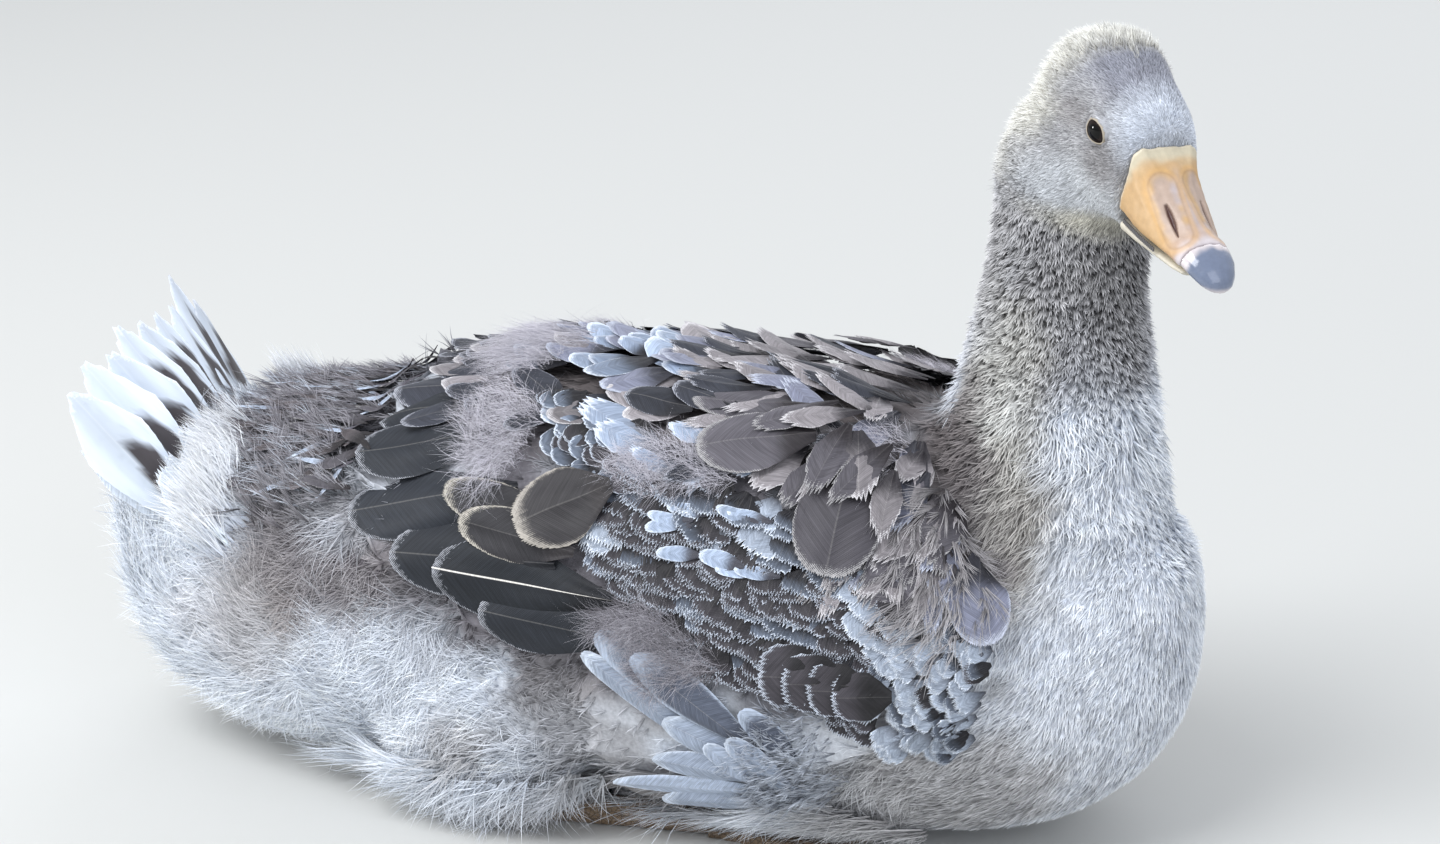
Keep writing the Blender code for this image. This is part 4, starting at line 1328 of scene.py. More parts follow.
@dataclass
class Tail:
    """The raised tail: a fan of stiff pointed feathers, roofed over its middle, white with dark blotches."""

    body: Body
    feathers: int = 9
    long: float = 0.106
    wide: float = 0.031
    spread: float = math.radians(42)
    rise: float = math.radians(53)
    root: Triple = (-0.203, 0, 0.113)
    # The coverts: how many, how long, how far above the fan in millimetres and how wide against the fan's.
    coverts: tuple[tuple[float, ...], ...] = ((8, 0.078, -5, 1.0), (8, 0.066, -9, 1.0), (16, 0.046, 6, 0.5))
    white: Dye = Dye("#D9E2EE", "#F2F7FF", 0.08, 0.12, base="#D3DAE4")
    blotch: str = "#3A3131"

    def frame_of(self, share: float) -> Matrix:
        """Finds where a feather sits and how it turns.

        Args:
            share: its place across the fan, from -1 on the left to 1 on the right.

        Returns:
            The place and turn of a feather that is modelled along +X.
        """
        near = max(share, 0)
        swing = Matrix.Rotation(math.pi + share * (1 - 0.4 * near) * self.spread / 2, 4, "Z")
        lift = Matrix.Translation((0, -share * 0.030 - 0.020 * near ** 2, -0.010 * share ** 2))
        return Matrix.Translation(self.root) @ Matrix.Rotation(self.rise, 4, "Y") @ lift @ swing

    def build(self, finish: Material) -> None:
        """Makes the tail's vanes in one piece.

        Args:
            finish: the feathers' material.
        """
        plumage = Plumage("tail_feathers", self.body, "white_feather", 81)
        rng = plumage.rng
        for i in range(self.feathers):
            share = i / (self.feathers - 1) * 1.65 - 0.65 + rng.normal() * 0.03
            long = self.long * (1 - 0.14 * share ** 2) * rng.uniform(0.88, 1.04)
            self.quill(plumage, share, long, self.wide * rng.uniform(0.9, 1.15),
                       (0.5 - 2.4 * i / self.feathers) * MM, 0.0, Vane.POINTED)
        for count, long, height, full in self.coverts:
            for i in range(count):
                share = (i + 0.5) / count * 1.75 - 0.65
                length = long * rng.uniform(0.8, 1.1)
                self.quill(plumage, share, length, self.wide * full * rng.uniform(0.7, 1.0),
                           (height + rng.normal()) * MM, math.copysign(0.05, height), Vane.FRAYED)
        plumage.finish(finish, ("tail",))

    def quill(self, plumage: Plumage, share: float, long: float, wide: float, height: float, bow: float,
              vane: Vane) -> None:
        """Adds one tail feather or covert.

        Args:
            plumage: the piece it joins.
            share: its place across the fan.
            long: its length.
            wide: its width.
            height: how far above the fan it lies, or below it if negative.
            bow: how far it bows away from the fan, as a share of its length.
            vane: its kind. The pointed ones have a dark blotch.
        """
        place_of = self.frame_of(share)
        steps = np.linspace(0, 1, 8)
        points = [place_of @ Vector((s * long, 0, height + bow * long * s * s)) for s in steps]
        out = [(place_of.to_3x3() @ Vector((0, 0, 1)))[:] for _ in steps]
        plumage.shape(np.array(points), np.array(out), wide, vane, self.white, 0.0, 0.0,
                      twist=(0.35 + share) * 0.7 + plumage.rng.normal() * 0.08)
        if vane is Vane.POINTED:
            points, _, tint, _, barb, flat = plumage.made[-1]
            barb[:] = grain(points, 0.004, 3) * 0.4  # too little change for streaks to show
            s, t = flat[:, 0], flat[:, 1] * 2 - 1
            worn = (grain(points, 0.005, 9) - 0.5) * 0.24
            start = 0.52 - 0.22 * min(max(share, 0) / 0.8, 1) + plumage.rng.normal() * 0.03
            reach = plumage.rng.uniform(0.28, 0.42)
            # The blotch is a wedge on the inner web, broad at its foot and drawn out towards the tip.
            along_it = np.clip((s - start) / reach, 0, 1)
            dark = smooth(s, start - 0.04, start)
            dark *= 1 - smooth(s + worn * 0.5, start + reach * 0.75, start + reach)
            dark *= 1 - smooth(np.abs(t - 0.42) + worn, 0.50 - 0.34 * along_it, 0.62 - 0.34 * along_it)
            tint[:, :3] += (linear(self.blotch) - tint[:, :3]) * dark[:, None] * 0.95


@dataclass
class Rump:
    """The soft brown-grey feathers over the rump."""

    body: Body
    rows: int = 8
    in_row: int = 9

    def build(self, finish: Material) -> None:
        """Lays the feathers in rows from the tail forwards, on both sides.

        Args:
            finish: the feathers' material.
        """
        plumage = Plumage("rump_feathers", self.body, "white_feather", 91)
        rng = plumage.rng
        for row in range(self.rows):
            for i in range(self.in_row):
                for left in (False, True):
                    x = -0.178 + 0.0075 * row + rng.normal() * 0.004
                    angle = 43 + 5.8 * i + rng.normal() * 3
                    dye = (RUMP_BROWN, RUMP_BROWN, BROWN, WHITE_STREAK)[rng.integers(4)]
                    wide = rng.uniform(0.005, 0.008) * (0.45 if dye is WHITE_STREAK else 1.0)
                    tip = (x - rng.uniform(0.020, 0.034), angle + rng.normal() * 8)
                    plumage.lay((x, angle), tip, wide, Vane.DOWNY, dye,
                                (rng.uniform(2.6, 5.4) - row * 0.2) * MM, rng.uniform(0.5, 3.0) * MM, left)
        plumage.finish(finish)


# ---------------------------------------------------------------- bill, eyes and feet


@dataclass
class Bill:
    """The bill: a soft-skinned horn sheath with a hard nail at its tip. Places are in the head's frame."""

    voxel: float = 0.55 * MM
    nostril_from: tuple[float, float] = (0.0400, -0.0085)
    nostril_to: tuple[float, float] = (0.0525, -0.0150)
    nostril_wide: float = 0.34 * MM
    base: float = 0.0198
    combs: int = 22  # lamellae on each side
    comb_pitch: float = 1.0 * MM
    slit: Array = field(init=False)

    def build(self, horn: Material, nail: Material) -> None:
        """Makes the upper sheath, the lower one, the nail and the lamellae.

        Args:
            horn: the sheaths' material.
            nail: the nail's.
        """
        for node, name, finish, slot, coloured in (
                ("bill_upper", "bill_upper_sheath", horn, "bill_horn", self.upper_colours),
                ("bill_lower", "bill_lower_sheath", horn, "bill_horn", self.lower_colours),
                ("bill_nail", "bill_tip", nail, "nail_horn", self.nail_colours)):
            mesh = self.fine(node)
            if node == "bill_upper":
                self.work(mesh)
            write_tint(mesh, coloured(HEAD.inside(read_rows(mesh))))
            place(name, mesh, finish, (node,))
        self.lamellae(horn)

    def fine(self, node: str) -> Mesh:
        """Copies a bill solid as a fine, soft-edged mesh.

        Args:
            node: the solid's name.

        Returns:
            The mesh, of triangles.
        """
        bm = bmesh.new()
        bm.from_mesh(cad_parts[node].data)
        bmesh.ops.remove_doubles(bm, verts=bm.verts, dist=WELD)
        bm = softened(mesh_of(bm), self.voxel, 6)
        bmesh.ops.triangulate(bm, faces=bm.faces)
        bmesh.ops.recalc_face_normals(bm, faces=bm.faces)
        return mesh_of(bm)

    def nostril(self, local: Array) -> Array:
        """Says how far points lie in the leaf-shaped slit of their own side's nostril: 1 in it.

        Args:
            local: points in the head's frame.

        Returns:
            One value from 0 to 1 per point.
        """
        start, end = np.array(self.nostril_from), np.array(self.nostril_to)
        way = end - start
        plane = local[:, [0, 2]] - start
        share = plane @ way / (way @ way)
        away = np.linalg.norm(plane - np.clip(share, 0, 1)[:, None] * way, axis=1)
        wide = self.nostril_wide * np.sin(np.clip(share, 0, 1) * math.pi) ** 0.8
        return (1 - smooth(away - wide, -0.0001, 0.0005)) * (np.abs(local[:, 1]) > 0.0030)

    def hollow(self, local: Array) -> Array:
        """Measures how far points lie from the middle line of the oval hollow round a nostril.

        Args:
            local: points in the head's frame.

        Returns:
            One distance per point.
        """
        start, end = np.array((0.0335, -0.0070, -0.0050)), np.array((0.0525, -0.0085, -0.0150))
        mirrored = local * (1, 0, 1) - np.abs(local) * (0, 1, 0)
        way = end - start
        share = np.clip((mirrored - start) @ way / (way @ way), 0, 1)
        return np.linalg.norm(mirrored - start - share[:, None] * way, axis=1)

    def work(self, mesh: Mesh) -> None:
        """Presses the nostrils and their hollows in, and draws the base's edge out over the down.

        Args:
            mesh: the upper sheath.
        """
        points, normals = read_rows(mesh), unit(read_rows(mesh, "normal"))
        local = HEAD.inside(points)
        self.slit = self.nostril(local)
        sunk = 1 - smooth(self.hollow(local), 0.0010, 0.0066)
        points -= normals * (sunk * 0.0010 + self.slit * 0.0016)[:, None]
        back = 1 - smooth(local[:, 0], 0.0205, 0.0330)
        aside = np.sign(local[:, 1]) * smooth(local[:, 2], -0.008, 0.001) * 0.0014
        up = smooth(np.abs(local[:, 1]), 0.005, 0.011) * 0.0012
        points += np.column_stack([np.zeros(len(local)), aside * back, up * back]) @ HEAD.turn.T
        welt = np.exp(-((local[:, 0] - self.base - 0.0010) / 0.0012) ** 2)
        points += normals * (welt * 0.0004)[:, None]
        points += normals * ((grain(points, 0.0030, 4) - 0.5) * 0.0003)[:, None]
        move_vertices(mesh, points)

    def upper_colours(self, local: Array) -> Array:
        """Colours the upper sheath: cream base, orange sides, lilac ridge and nostril hollow.

        Args:
            local: points in the head's frame.

        Returns:
            One linear colour per point.
        """
        x, y, z = local[:, 0], np.abs(local[:, 1]), local[:, 2]
        blur = (grain(local, 0.004, 7) - 0.5) * 0.004
        hollow = self.hollow(local)
        ridge = (1 - smooth(y + blur, 0.0010, 0.0046)) * smooth(x, 0.024, 0.040) * (z > -0.020)
        colour = linear("#BE9C70")
        for code, weight in (
                ("#C4BAA2", 1 - smooth(x + blur - 0.35 * (z + 0.004), 0.0205, 0.0262)),
                ("#AD9A90", (1 - smooth(hollow + blur, 0.0025, 0.0062)) * 0.85),
                ("#ADA5AA", ridge * 0.85),
                ("#B79C8A", smooth(x + blur, 0.048, 0.058) * 0.7),
                ("#C4BBBD", smooth(x + blur, 0.0545, 0.0600)),
                ("#D3C6A6", (1 - smooth(z + 0.0252, 0.0006, 0.0024)) * 0.8),
                ("#8E6E50", np.exp(-((hollow - 0.0056) / 0.0005) ** 2) * 0.4),
                ("#43201A", self.slit),
                ("#C79D63", np.exp(-((hollow - 0.0068) / 0.0012) ** 2) * 0.5),
                ("#D6CCB8", (x < 0.0212) * 0.5)):
            colour = colour + (linear(code) - colour) * np.clip(weight, 0, 1)[:, None]
        return colour

    def lower_colours(self, local: Array) -> Array:
        """Colours the lower sheath: pale cream, dark along the gape, where the lamellae show."""
        dark = smooth(local[:, 2], -0.0275, -0.0262) * (1 - smooth(local[:, 0], 0.038, 0.052))
        return linear("#CFC8B8") + (linear("#575354") - linear("#CFC8B8")) * dark[:, None]

    def nail_colours(self, local: Array) -> Array:
        """Colours the nail: slate, with a whitish border behind.

        Args:
            local: points in the head's frame.

        Returns:
            One linear colour per point.
        """
        ahead = local[:, 0] + (grain(local, 0.003, 2) - 0.5) * 0.002 - np.abs(local[:, 1]) * 0.25
        dark = smooth(ahead, 0.0610, 0.0640) * smooth(local[:, 2], -0.0270, -0.0245)
        return linear("#CCC3C4") + (linear("#697389") - linear("#CCC3C4")) * dark[:, None]

    def lamellae(self, finish: Material) -> None:
        """Makes the rows of small dark combs that show along the gape on both sides.

        Args:
            finish: their material.
        """
        bm = bmesh.new()
        for side in (-1, 1):
            for i in range(self.combs):
                x = 0.0235 + i * self.comb_pitch
                at = Matrix.Translation((x, side * (0.0128 - 0.08 * max(0, x - 0.035)), -0.0256))
                lean = Matrix.Rotation(math.radians(-20), 4, "Y")
                size = Matrix.Diagonal((0.0007, 0.0008, 0.0018, 1))
                bmesh.ops.create_cube(bm, size=1.0, matrix=at @ lean @ size)
        bmesh.ops.bevel(bm, geom=bm.edges[:], offset=0.12 * MM, affect="EDGES", segments=1, profile=0.5,
                        material=-1)
        turn = Matrix(HEAD.turn.tolist()).to_4x4()
        bmesh.ops.transform(bm, matrix=Matrix.Translation(HEAD.centre) @ turn, verts=bm.verts)
        mesh = mesh_of(bm)
        write_tint(mesh, linear("#5F5D5E"))
        place("bill_lamellae", mesh, finish, rounded=False)


@dataclass
class Leg:
    """One folded leg: the shank, and the webbed foot with a claw on each toe."""

    side: str
    voxel: float = 0.9 * MM
    toe: float = 3.0 * MM
    claw: float = 6.0 * MM

    def build(self, skin: Material, horn: Material) -> None:
        """Makes the shank, the foot and the claws.

        Args:
            skin: the leg's material.
            horn: the claws'.
        """
        for part in ("shank", "foot"):
            node = f"{part}_{self.side}"
            bm = softened(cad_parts[node].data.copy(), self.voxel, 5)
            bmesh.ops.recalc_face_normals(bm, faces=bm.faces)
            place(f"{part}_skin_{self.side}", mesh_of(bm), skin, (node,))
        self.toes(skin, horn)

    def toes(self, skin: Material, horn: Material) -> None:
        """Makes the three toes as ridges along the web, each with a short blunt claw.

        Args:
            skin: the toes' material.
            horn: the claws'.
        """
        low, high = (np.array(corner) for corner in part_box(f"foot_{self.side}"))
        sign = 1 if self.side == "left" else -1
        heel = Vector((low[0], sign * 0.0600, self.toe))
        toes, claws = bmesh.new(), bmesh.new()
        for share in (0.12, 0.5, 0.88):
            tip = Vector((high[0] - 0.006 - 0.010 * abs(share - 0.5),
                          sign * (0.018 + (abs(high[1] - low[1]) - 0.008) * share), self.toe))
            way = (tip - heel).normalized()
            turn = way.to_track_quat("Z", "Y").to_matrix().to_4x4()
            bmesh.ops.create_cone(toes, cap_ends=True, segments=12, radius1=self.toe * 0.9,
                                  radius2=self.toe * 0.6, depth=(tip - heel).length,
                                  matrix=Matrix.Translation((tip + heel) / 2) @ turn)
            bmesh.ops.create_cone(claws, cap_ends=True, segments=10, radius1=self.toe * 0.5,
                                  radius2=self.toe * 0.1, depth=self.claw,
                                  matrix=Matrix.Translation(tip + way * self.claw * 0.4) @ turn)
        for bm, name, finish in ((toes, "toes", skin), (claws, "claws", horn)):
            mesh = mesh_of(bm)
            write_tint(mesh, linear("#6B5A44"))
            place(f"{name}_{self.side}", mesh, finish)


@dataclass
class Eye:
    """One eye: a glossy dark ball in a thin pale rim."""

    name: str
    rim: float = 0.32 * MM
    sections: int = 8  # corners of the rim's cross-section

    def build(self, wet: Material, lid: Material) -> None:
        """Makes the ball and the rim.

        Args:
            wet: the ball's material.
            lid: the rim's.
        """
        axes, centre = HEAD.sockets[self.name]
        at = Matrix.Translation(centre) @ Matrix(axes.tolist()).to_4x4()
        bm = bmesh.new()
        bmesh.ops.create_uvsphere(bm, u_segments=48, v_segments=32, radius=EYE_RADIUS)
        bmesh.ops.transform(bm, matrix=at @ Matrix.Rotation(math.radians(-90), 4, "X"), verts=bm.verts)
        bmesh.ops.recalc_face_normals(bm, faces=bm.faces)
        mesh = mesh_of(bm)
        points = (read_rows(mesh) - centre) @ axes
        # Degrees round the ball from the way it looks: pupil, iris, then the dark white of the eye.
        off_axis = np.degrees(np.arctan2(np.hypot(points[:, 0], points[:, 2]), points[:, 1]))
        colour = linear("#1E1512")
        ring, pupil = smooth(off_axis, 40, 52), 1 - smooth(off_axis, 22, 26)
        for code, weight in (("#0C0808", ring), ("#040404", pupil)):
            colour = colour + (linear(code) - colour) * weight[:, None]
        write_tint(mesh, colour)
        place(f"eyeball_{self.name}", mesh, wet, (f"eye_{self.name}",))
        self.lids(at, lid)

    def lids(self, at: Matrix, lid: Material) -> None:
        """Makes the rim of both lids as one ring round the gap, lying on the ball.

        Args:
            at: the ball's place and turn.
            lid: the rim's material.
        """
        bm = bmesh.new()
        rings = []
        for k in range(self.sections):
            turn = 2 * math.pi * k / self.sections
            grown = bmesh.ops.create_circle(bm, segments=64, radius=1.0)["verts"]
            for v in grown:
                angle = math.atan2(v.co.y, v.co.x)
                across, high = (math.copysign(abs(part) ** (2 / ALMOND), part)
                                for part in (math.cos(angle), math.sin(angle)))
                wide = self.rim * (0.6 + 1.3 * math.cos(turn))
                x, z = (EYE_OPENING[0] + wide) * across, (EYE_OPENING[1] + wide) * high
                ball = math.sqrt(max(EYE_RADIUS ** 2 - x * x - z * z, 1e-8))
                v.co = (x, ball + self.rim * (0.5 + math.sin(turn)), z)
            rings.append(list({e for v in grown for e in v.link_edges}))
        for one, other in zip(rings, rings[1:] + rings[:1]):
            bmesh.ops.bridge_loops(bm, edges=one + other)
        bmesh.ops.remove_doubles(bm, verts=bm.verts, dist=1e-7)
        bmesh.ops.transform(bm, matrix=at, verts=bm.verts)
        bmesh.ops.recalc_face_normals(bm, faces=bm.faces)
        mesh = mesh_of(bm)
        write_tint(mesh, linear("#A89D8C"))
        place(f"eyelids_{self.name}", mesh, lid)


# ---------------------------------------------------------------- finishes


def add(tree: NodeTree, kind: str, feeds: dict | None = None) -> Node:
    """Adds a shader node.

    Args:
        tree: the material's node tree.
        kind: the node's type.
        feeds: what it is given, by an input's name or number or by the name of a setting of its own. A
            socket, or a node for its first output, is linked, and anything else is set.

    Returns:
        The node.
    """
    node = tree.nodes.new("ShaderNode" + kind)
    for key, feed in (feeds or {}).items():
        if isinstance(feed, Node):
            feed = feed.outputs[0]
        if isinstance(feed, NodeSocket):
            tree.links.new(feed, node.inputs[key])
        elif isinstance(key, int) or key in node.inputs:
            node.inputs[key].default_value = feed
        else:
            setattr(node, key, feed)
    return node


def mottled(tree: NodeTree, size: float, depth: float) -> Node:
    """Reads the piece's own Tint and varies it in light and dark.

    Args:
        tree: the material's node tree.
        size: the size of the mottling in metres.
        depth: how strong it is.

    Returns:
        The node that gives the colour.
    """
    tint = add(tree, "Attribute", {"attribute_name": "Tint"})
    where = add(tree, "TexCoord").outputs["Object"]
    noise = add(tree, "TexNoise", {"Scale": 1 / size, "Detail": 3.0, "Vector": where})
    light = add(tree, "MapRange", {0: noise, 1: 0.3, 2: 0.7, 3: 1 - depth, 4: 1 + depth})
    return add(tree, "VectorMath", {"operation": "SCALE", 0: tint, "Scale": light})


def grained(tree: NodeTree, size: float, detail: float, strength: float, height: float) -> Node:
    """Gives a surface fine relief.

    Args:
        tree: the material's node tree.
        size: the size of its pores or nap in metres.
        detail: how many finer layers it has.
        strength: how strong it is.
        height: how high it stands in metres.

    Returns:
        The node that gives the normal.
    """
    where = add(tree, "TexCoord").outputs["Object"]
    noise = add(tree, "TexNoise", {"Scale": 1 / size, "Detail": detail, "Vector": where})
    return add(tree, "Bump", {"Strength": strength, "Distance": height, "Height": noise})


class Finish:
    """A material, named for what it is made of."""

    name: str

    def material(self) -> Material:
        """Makes the material.

        Returns:
            The material, with nodes of its own.
        """
        made = bpy.data.materials.new(self.name)
        made.use_nodes = True
        tree = made.node_tree
        tree.nodes.clear()
        add(tree, "OutputMaterial", {"Surface": self.shader(tree)})
        return made

    def shader(self, tree: NodeTree) -> Node:
        """Adds the surface's nodes.

        Args:
            tree: the material's node tree.

        Returns:
            The last of them.
        """
        raise NotImplementedError


@dataclass(frozen=True)
class Paint(Finish):
    """Matt paint in one plain colour."""

    name: str = "pale studio floor, matt paint"
    colour: str = "#C9C9C6"

    def shader(self, tree: NodeTree) -> Node:
        """Adds the paint's node."""
        return add(tree, "BsdfPrincipled", {"Base Color": rgba(self.colour), "Roughness": 0.9})


@dataclass(frozen=True)
class Down(Finish):
    """Natal down: matt, with the faint glow that fine barbs give at a glancing angle."""

    name: str = "natal down, grown"
    roughness: float = 0.9
    sheen: float = 0.15

    def shader(self, tree: NodeTree) -> Node:
        """Adds the down's nodes."""
        return add(tree, "BsdfPrincipled", {
            "Base Color": mottled(tree, 3 * MM, 0.10), "Roughness": self.roughness,
            "Specular IOR Level": 0.2, "Sheen Weight": self.sheen, "Sheen Roughness": 0.5})


@dataclass(frozen=True)
class Felt(Finish):
    """Skin under short down, felted so close that single barbs don't show: matt, with a fine nap."""

    name: str = "skin under felted down"
    nap: float = 0.5 * MM

    def shader(self, tree: NodeTree) -> Node:
        """Adds the felted skin's nodes."""
        return add(tree, "BsdfPrincipled", {
            "Base Color": mottled(tree, 1.6 * MM, 0.16), "Roughness": 0.92, "Specular IOR Level": 0.15,
            "Normal": grained(tree, self.nap, 2.0, 0.6, 0.3 * MM)})


@dataclass(frozen=True)
class VaneKeratin(Finish):
    """A feather's vane: keratin barbs hooked flat, softly silky, with a pale worn fringe and a shaft."""

    name: str = "feather keratin, hooked barbs"
    roughness: float = 0.55
    barbs: float = 0.085  # how strongly single barbs show in the colour
    lanes: float = 1.3  # how strongly bundles of barbs do
    shaft: str = "#E6E1DA"

    def shader(self, tree: NodeTree) -> Node:
        """Adds the vane's nodes. They read the Vane map, which runs from root to tip and edge to edge.

        Args:
            tree: the material's node tree.

        Returns:
            The surface's last node.
        """
        tint, fringe, barb = (add(tree, "Attribute", {"attribute_name": name})
                              for name in ("Tint", "Fringe", "Barb"))
        # How far a place lies from the shaft, from the tip and from the nearest edge.
        spot = add(tree, "SeparateXYZ", {0: add(tree, "UVMap", {"uv_map": "Vane"})})
        offset = add(tree, "Math", {"operation": "SUBTRACT", 0: spot.outputs[1], 1: 0.5})
        centre = add(tree, "Math", {"operation": "ABSOLUTE", 0: offset})
        end_gap = add(tree, "Math", {"operation": "SUBTRACT", 0: 1.0, 1: spot})
        side_gap = add(tree, "Math", {"operation": "MULTIPLY_ADD", 0: centre, 1: -1.5, 2: 0.75})
        edge_gap = add(tree, "Math", {"operation": "MULTIPLY_ADD", 0: end_gap, 1: 0.22, 2: side_gap})
        # The fringe: worn unevenly, and deeper between the barbs.
        phase = add(tree, "Math", {"operation": "MULTIPLY", 0: barb.outputs["Fac"], 1: 2 * math.pi})
        wave = add(tree, "Math", {"operation": "SINE", 0: phase})
        where = add(tree, "TexCoord").outputs["Object"]
        noise = add(tree, "TexNoise", {"Scale": 700.0, "Detail": 2.0, "Vector": where})
        worn = add(tree, "Math", {"operation": "MULTIPLY_ADD", 0: noise, 1: 0.112, 2: -0.056})
        ragged = add(tree, "Math", {"operation": "MULTIPLY_ADD", 0: wave, 1: 0.035, 2: worn})
        least = add(tree, "Math", {"operation": "MINIMUM", 0: edge_gap, 1: end_gap})
        gap = add(tree, "Math", {"operation": "ADD", 0: least, 1: ragged})
        inside = add(tree, "Math", {"operation": "DIVIDE", 0: gap, 1: tint.outputs["Alpha"]})
        outside = add(tree, "Math", {"operation": "SUBTRACT", 0: 1.0, 1: inside})
        rim = add(tree, "MapRange", {"interpolation_type": "SMOOTHSTEP", 0: outside, 1: 0.0, 2: 0.8})
        coloured = add(tree, "Mix", {"data_type": "RGBA", 0: rim, 6: tint, 7: fringe})
        # The shaft.
        on_shaft = add(tree, "MapRange", {0: centre, 1: 0.005, 2: 0.014, 3: 1.0, 4: 0.0})
        quill = add(tree, "Math", {"operation": "MULTIPLY", 0: on_shaft, 1: fringe.outputs["Alpha"]})
        quilled = add(tree, "Mix", {
            "data_type": "RGBA", 0: quill, 6: coloured.outputs[2], 7: rgba(self.shaft)})
        # Light and dark streaks: single barbs, and wider lanes where they bunch.
        bunch = add(tree, "Math", {"operation": "MULTIPLY", 0: barb.outputs["Fac"], 1: 0.7})
        sideways = add(tree, "Math", {"operation": "MULTIPLY", 0: centre, 1: 2.5})
        lane = add(tree, "CombineXYZ", {0: bunch, 1: sideways})
        lanes = add(tree, "TexNoise", {"Scale": 1.0, "Detail": 2.0, "Vector": lane})
        wide = add(tree, "Math", {
            "operation": "MULTIPLY_ADD", 0: lanes, 1: self.lanes, 2: 1 - self.lanes / 2})
        streak = add(tree, "Math", {"operation": "MULTIPLY_ADD", 0: wave, 1: self.barbs, 2: wide})
        colour = add(tree, "VectorMath", {"operation": "SCALE", 0: quilled.outputs[2], "Scale": streak})
        bump = add(tree, "Bump", {"Strength": 0.22, "Distance": 0.15 * MM, "Height": wave})
        return add(tree, "BsdfPrincipled", {
            "Base Color": colour, "Roughness": self.roughness, "Sheen Weight": 0.05, "Sheen Roughness": 0.4,
            "Specular IOR Level": 0.24, "Normal": bump})


@dataclass(frozen=True)
class Horn(Finish):
    """Living horn and bare skin: waxy, with fine pores, glossier where it is hard or wet."""

    name: str
    roughness: float
    coat: float = 0.0
    shine: float = 0.5
    pores: float = 0.7 * MM
    bumps: float = 0.12 * MM

    def shader(self, tree: NodeTree) -> Node:
        """Adds the horn's nodes."""
        return add(tree, "BsdfPrincipled", {
            "Base Color": mottled(tree, 2.5 * MM, 0.06), "Roughness": self.roughness,
            "Specular IOR Level": self.shine, "Coat Weight": self.coat, "Coat Roughness": 0.08,
            "Normal": grained(tree, self.pores, 3.0, 0.5, self.bumps)})


@dataclass(frozen=True)
class LegSkin(Finish):
    """The bare skin of shank and foot: small flat scales with darker joints, dull brown."""

    name: str = "scaled leg skin"
    scale: float = 2.2 * MM
    high: str = "#7C6852"
    joint: str = "#4E4237"

    def shader(self, tree: NodeTree) -> Node:
        """Adds the scaled skin's nodes.

        Args:
            tree: the material's node tree.

        Returns:
            The surface's last node.
        """
        where = add(tree, "TexCoord").outputs["Object"]
        cells = add(tree, "TexVoronoi", {
            "feature": "DISTANCE_TO_EDGE", "Scale": 1 / self.scale, "Vector": where})
        flat = add(tree, "MapRange", {0: cells, 1: 0.0, 2: 0.12, 3: 0.0, 4: 1.0})
        colour = add(tree, "Mix", {"data_type": "RGBA", 0: flat, 6: rgba(self.joint), 7: rgba(self.high)})
        bump = add(tree, "Bump", {"Strength": 0.7, "Distance": 0.3 * MM, "Height": flat})
        return add(tree, "BsdfPrincipled", {
            "Base Color": colour.outputs[2], "Roughness": 0.5, "Normal": bump})


# ---------------------------------------------------------------- studio


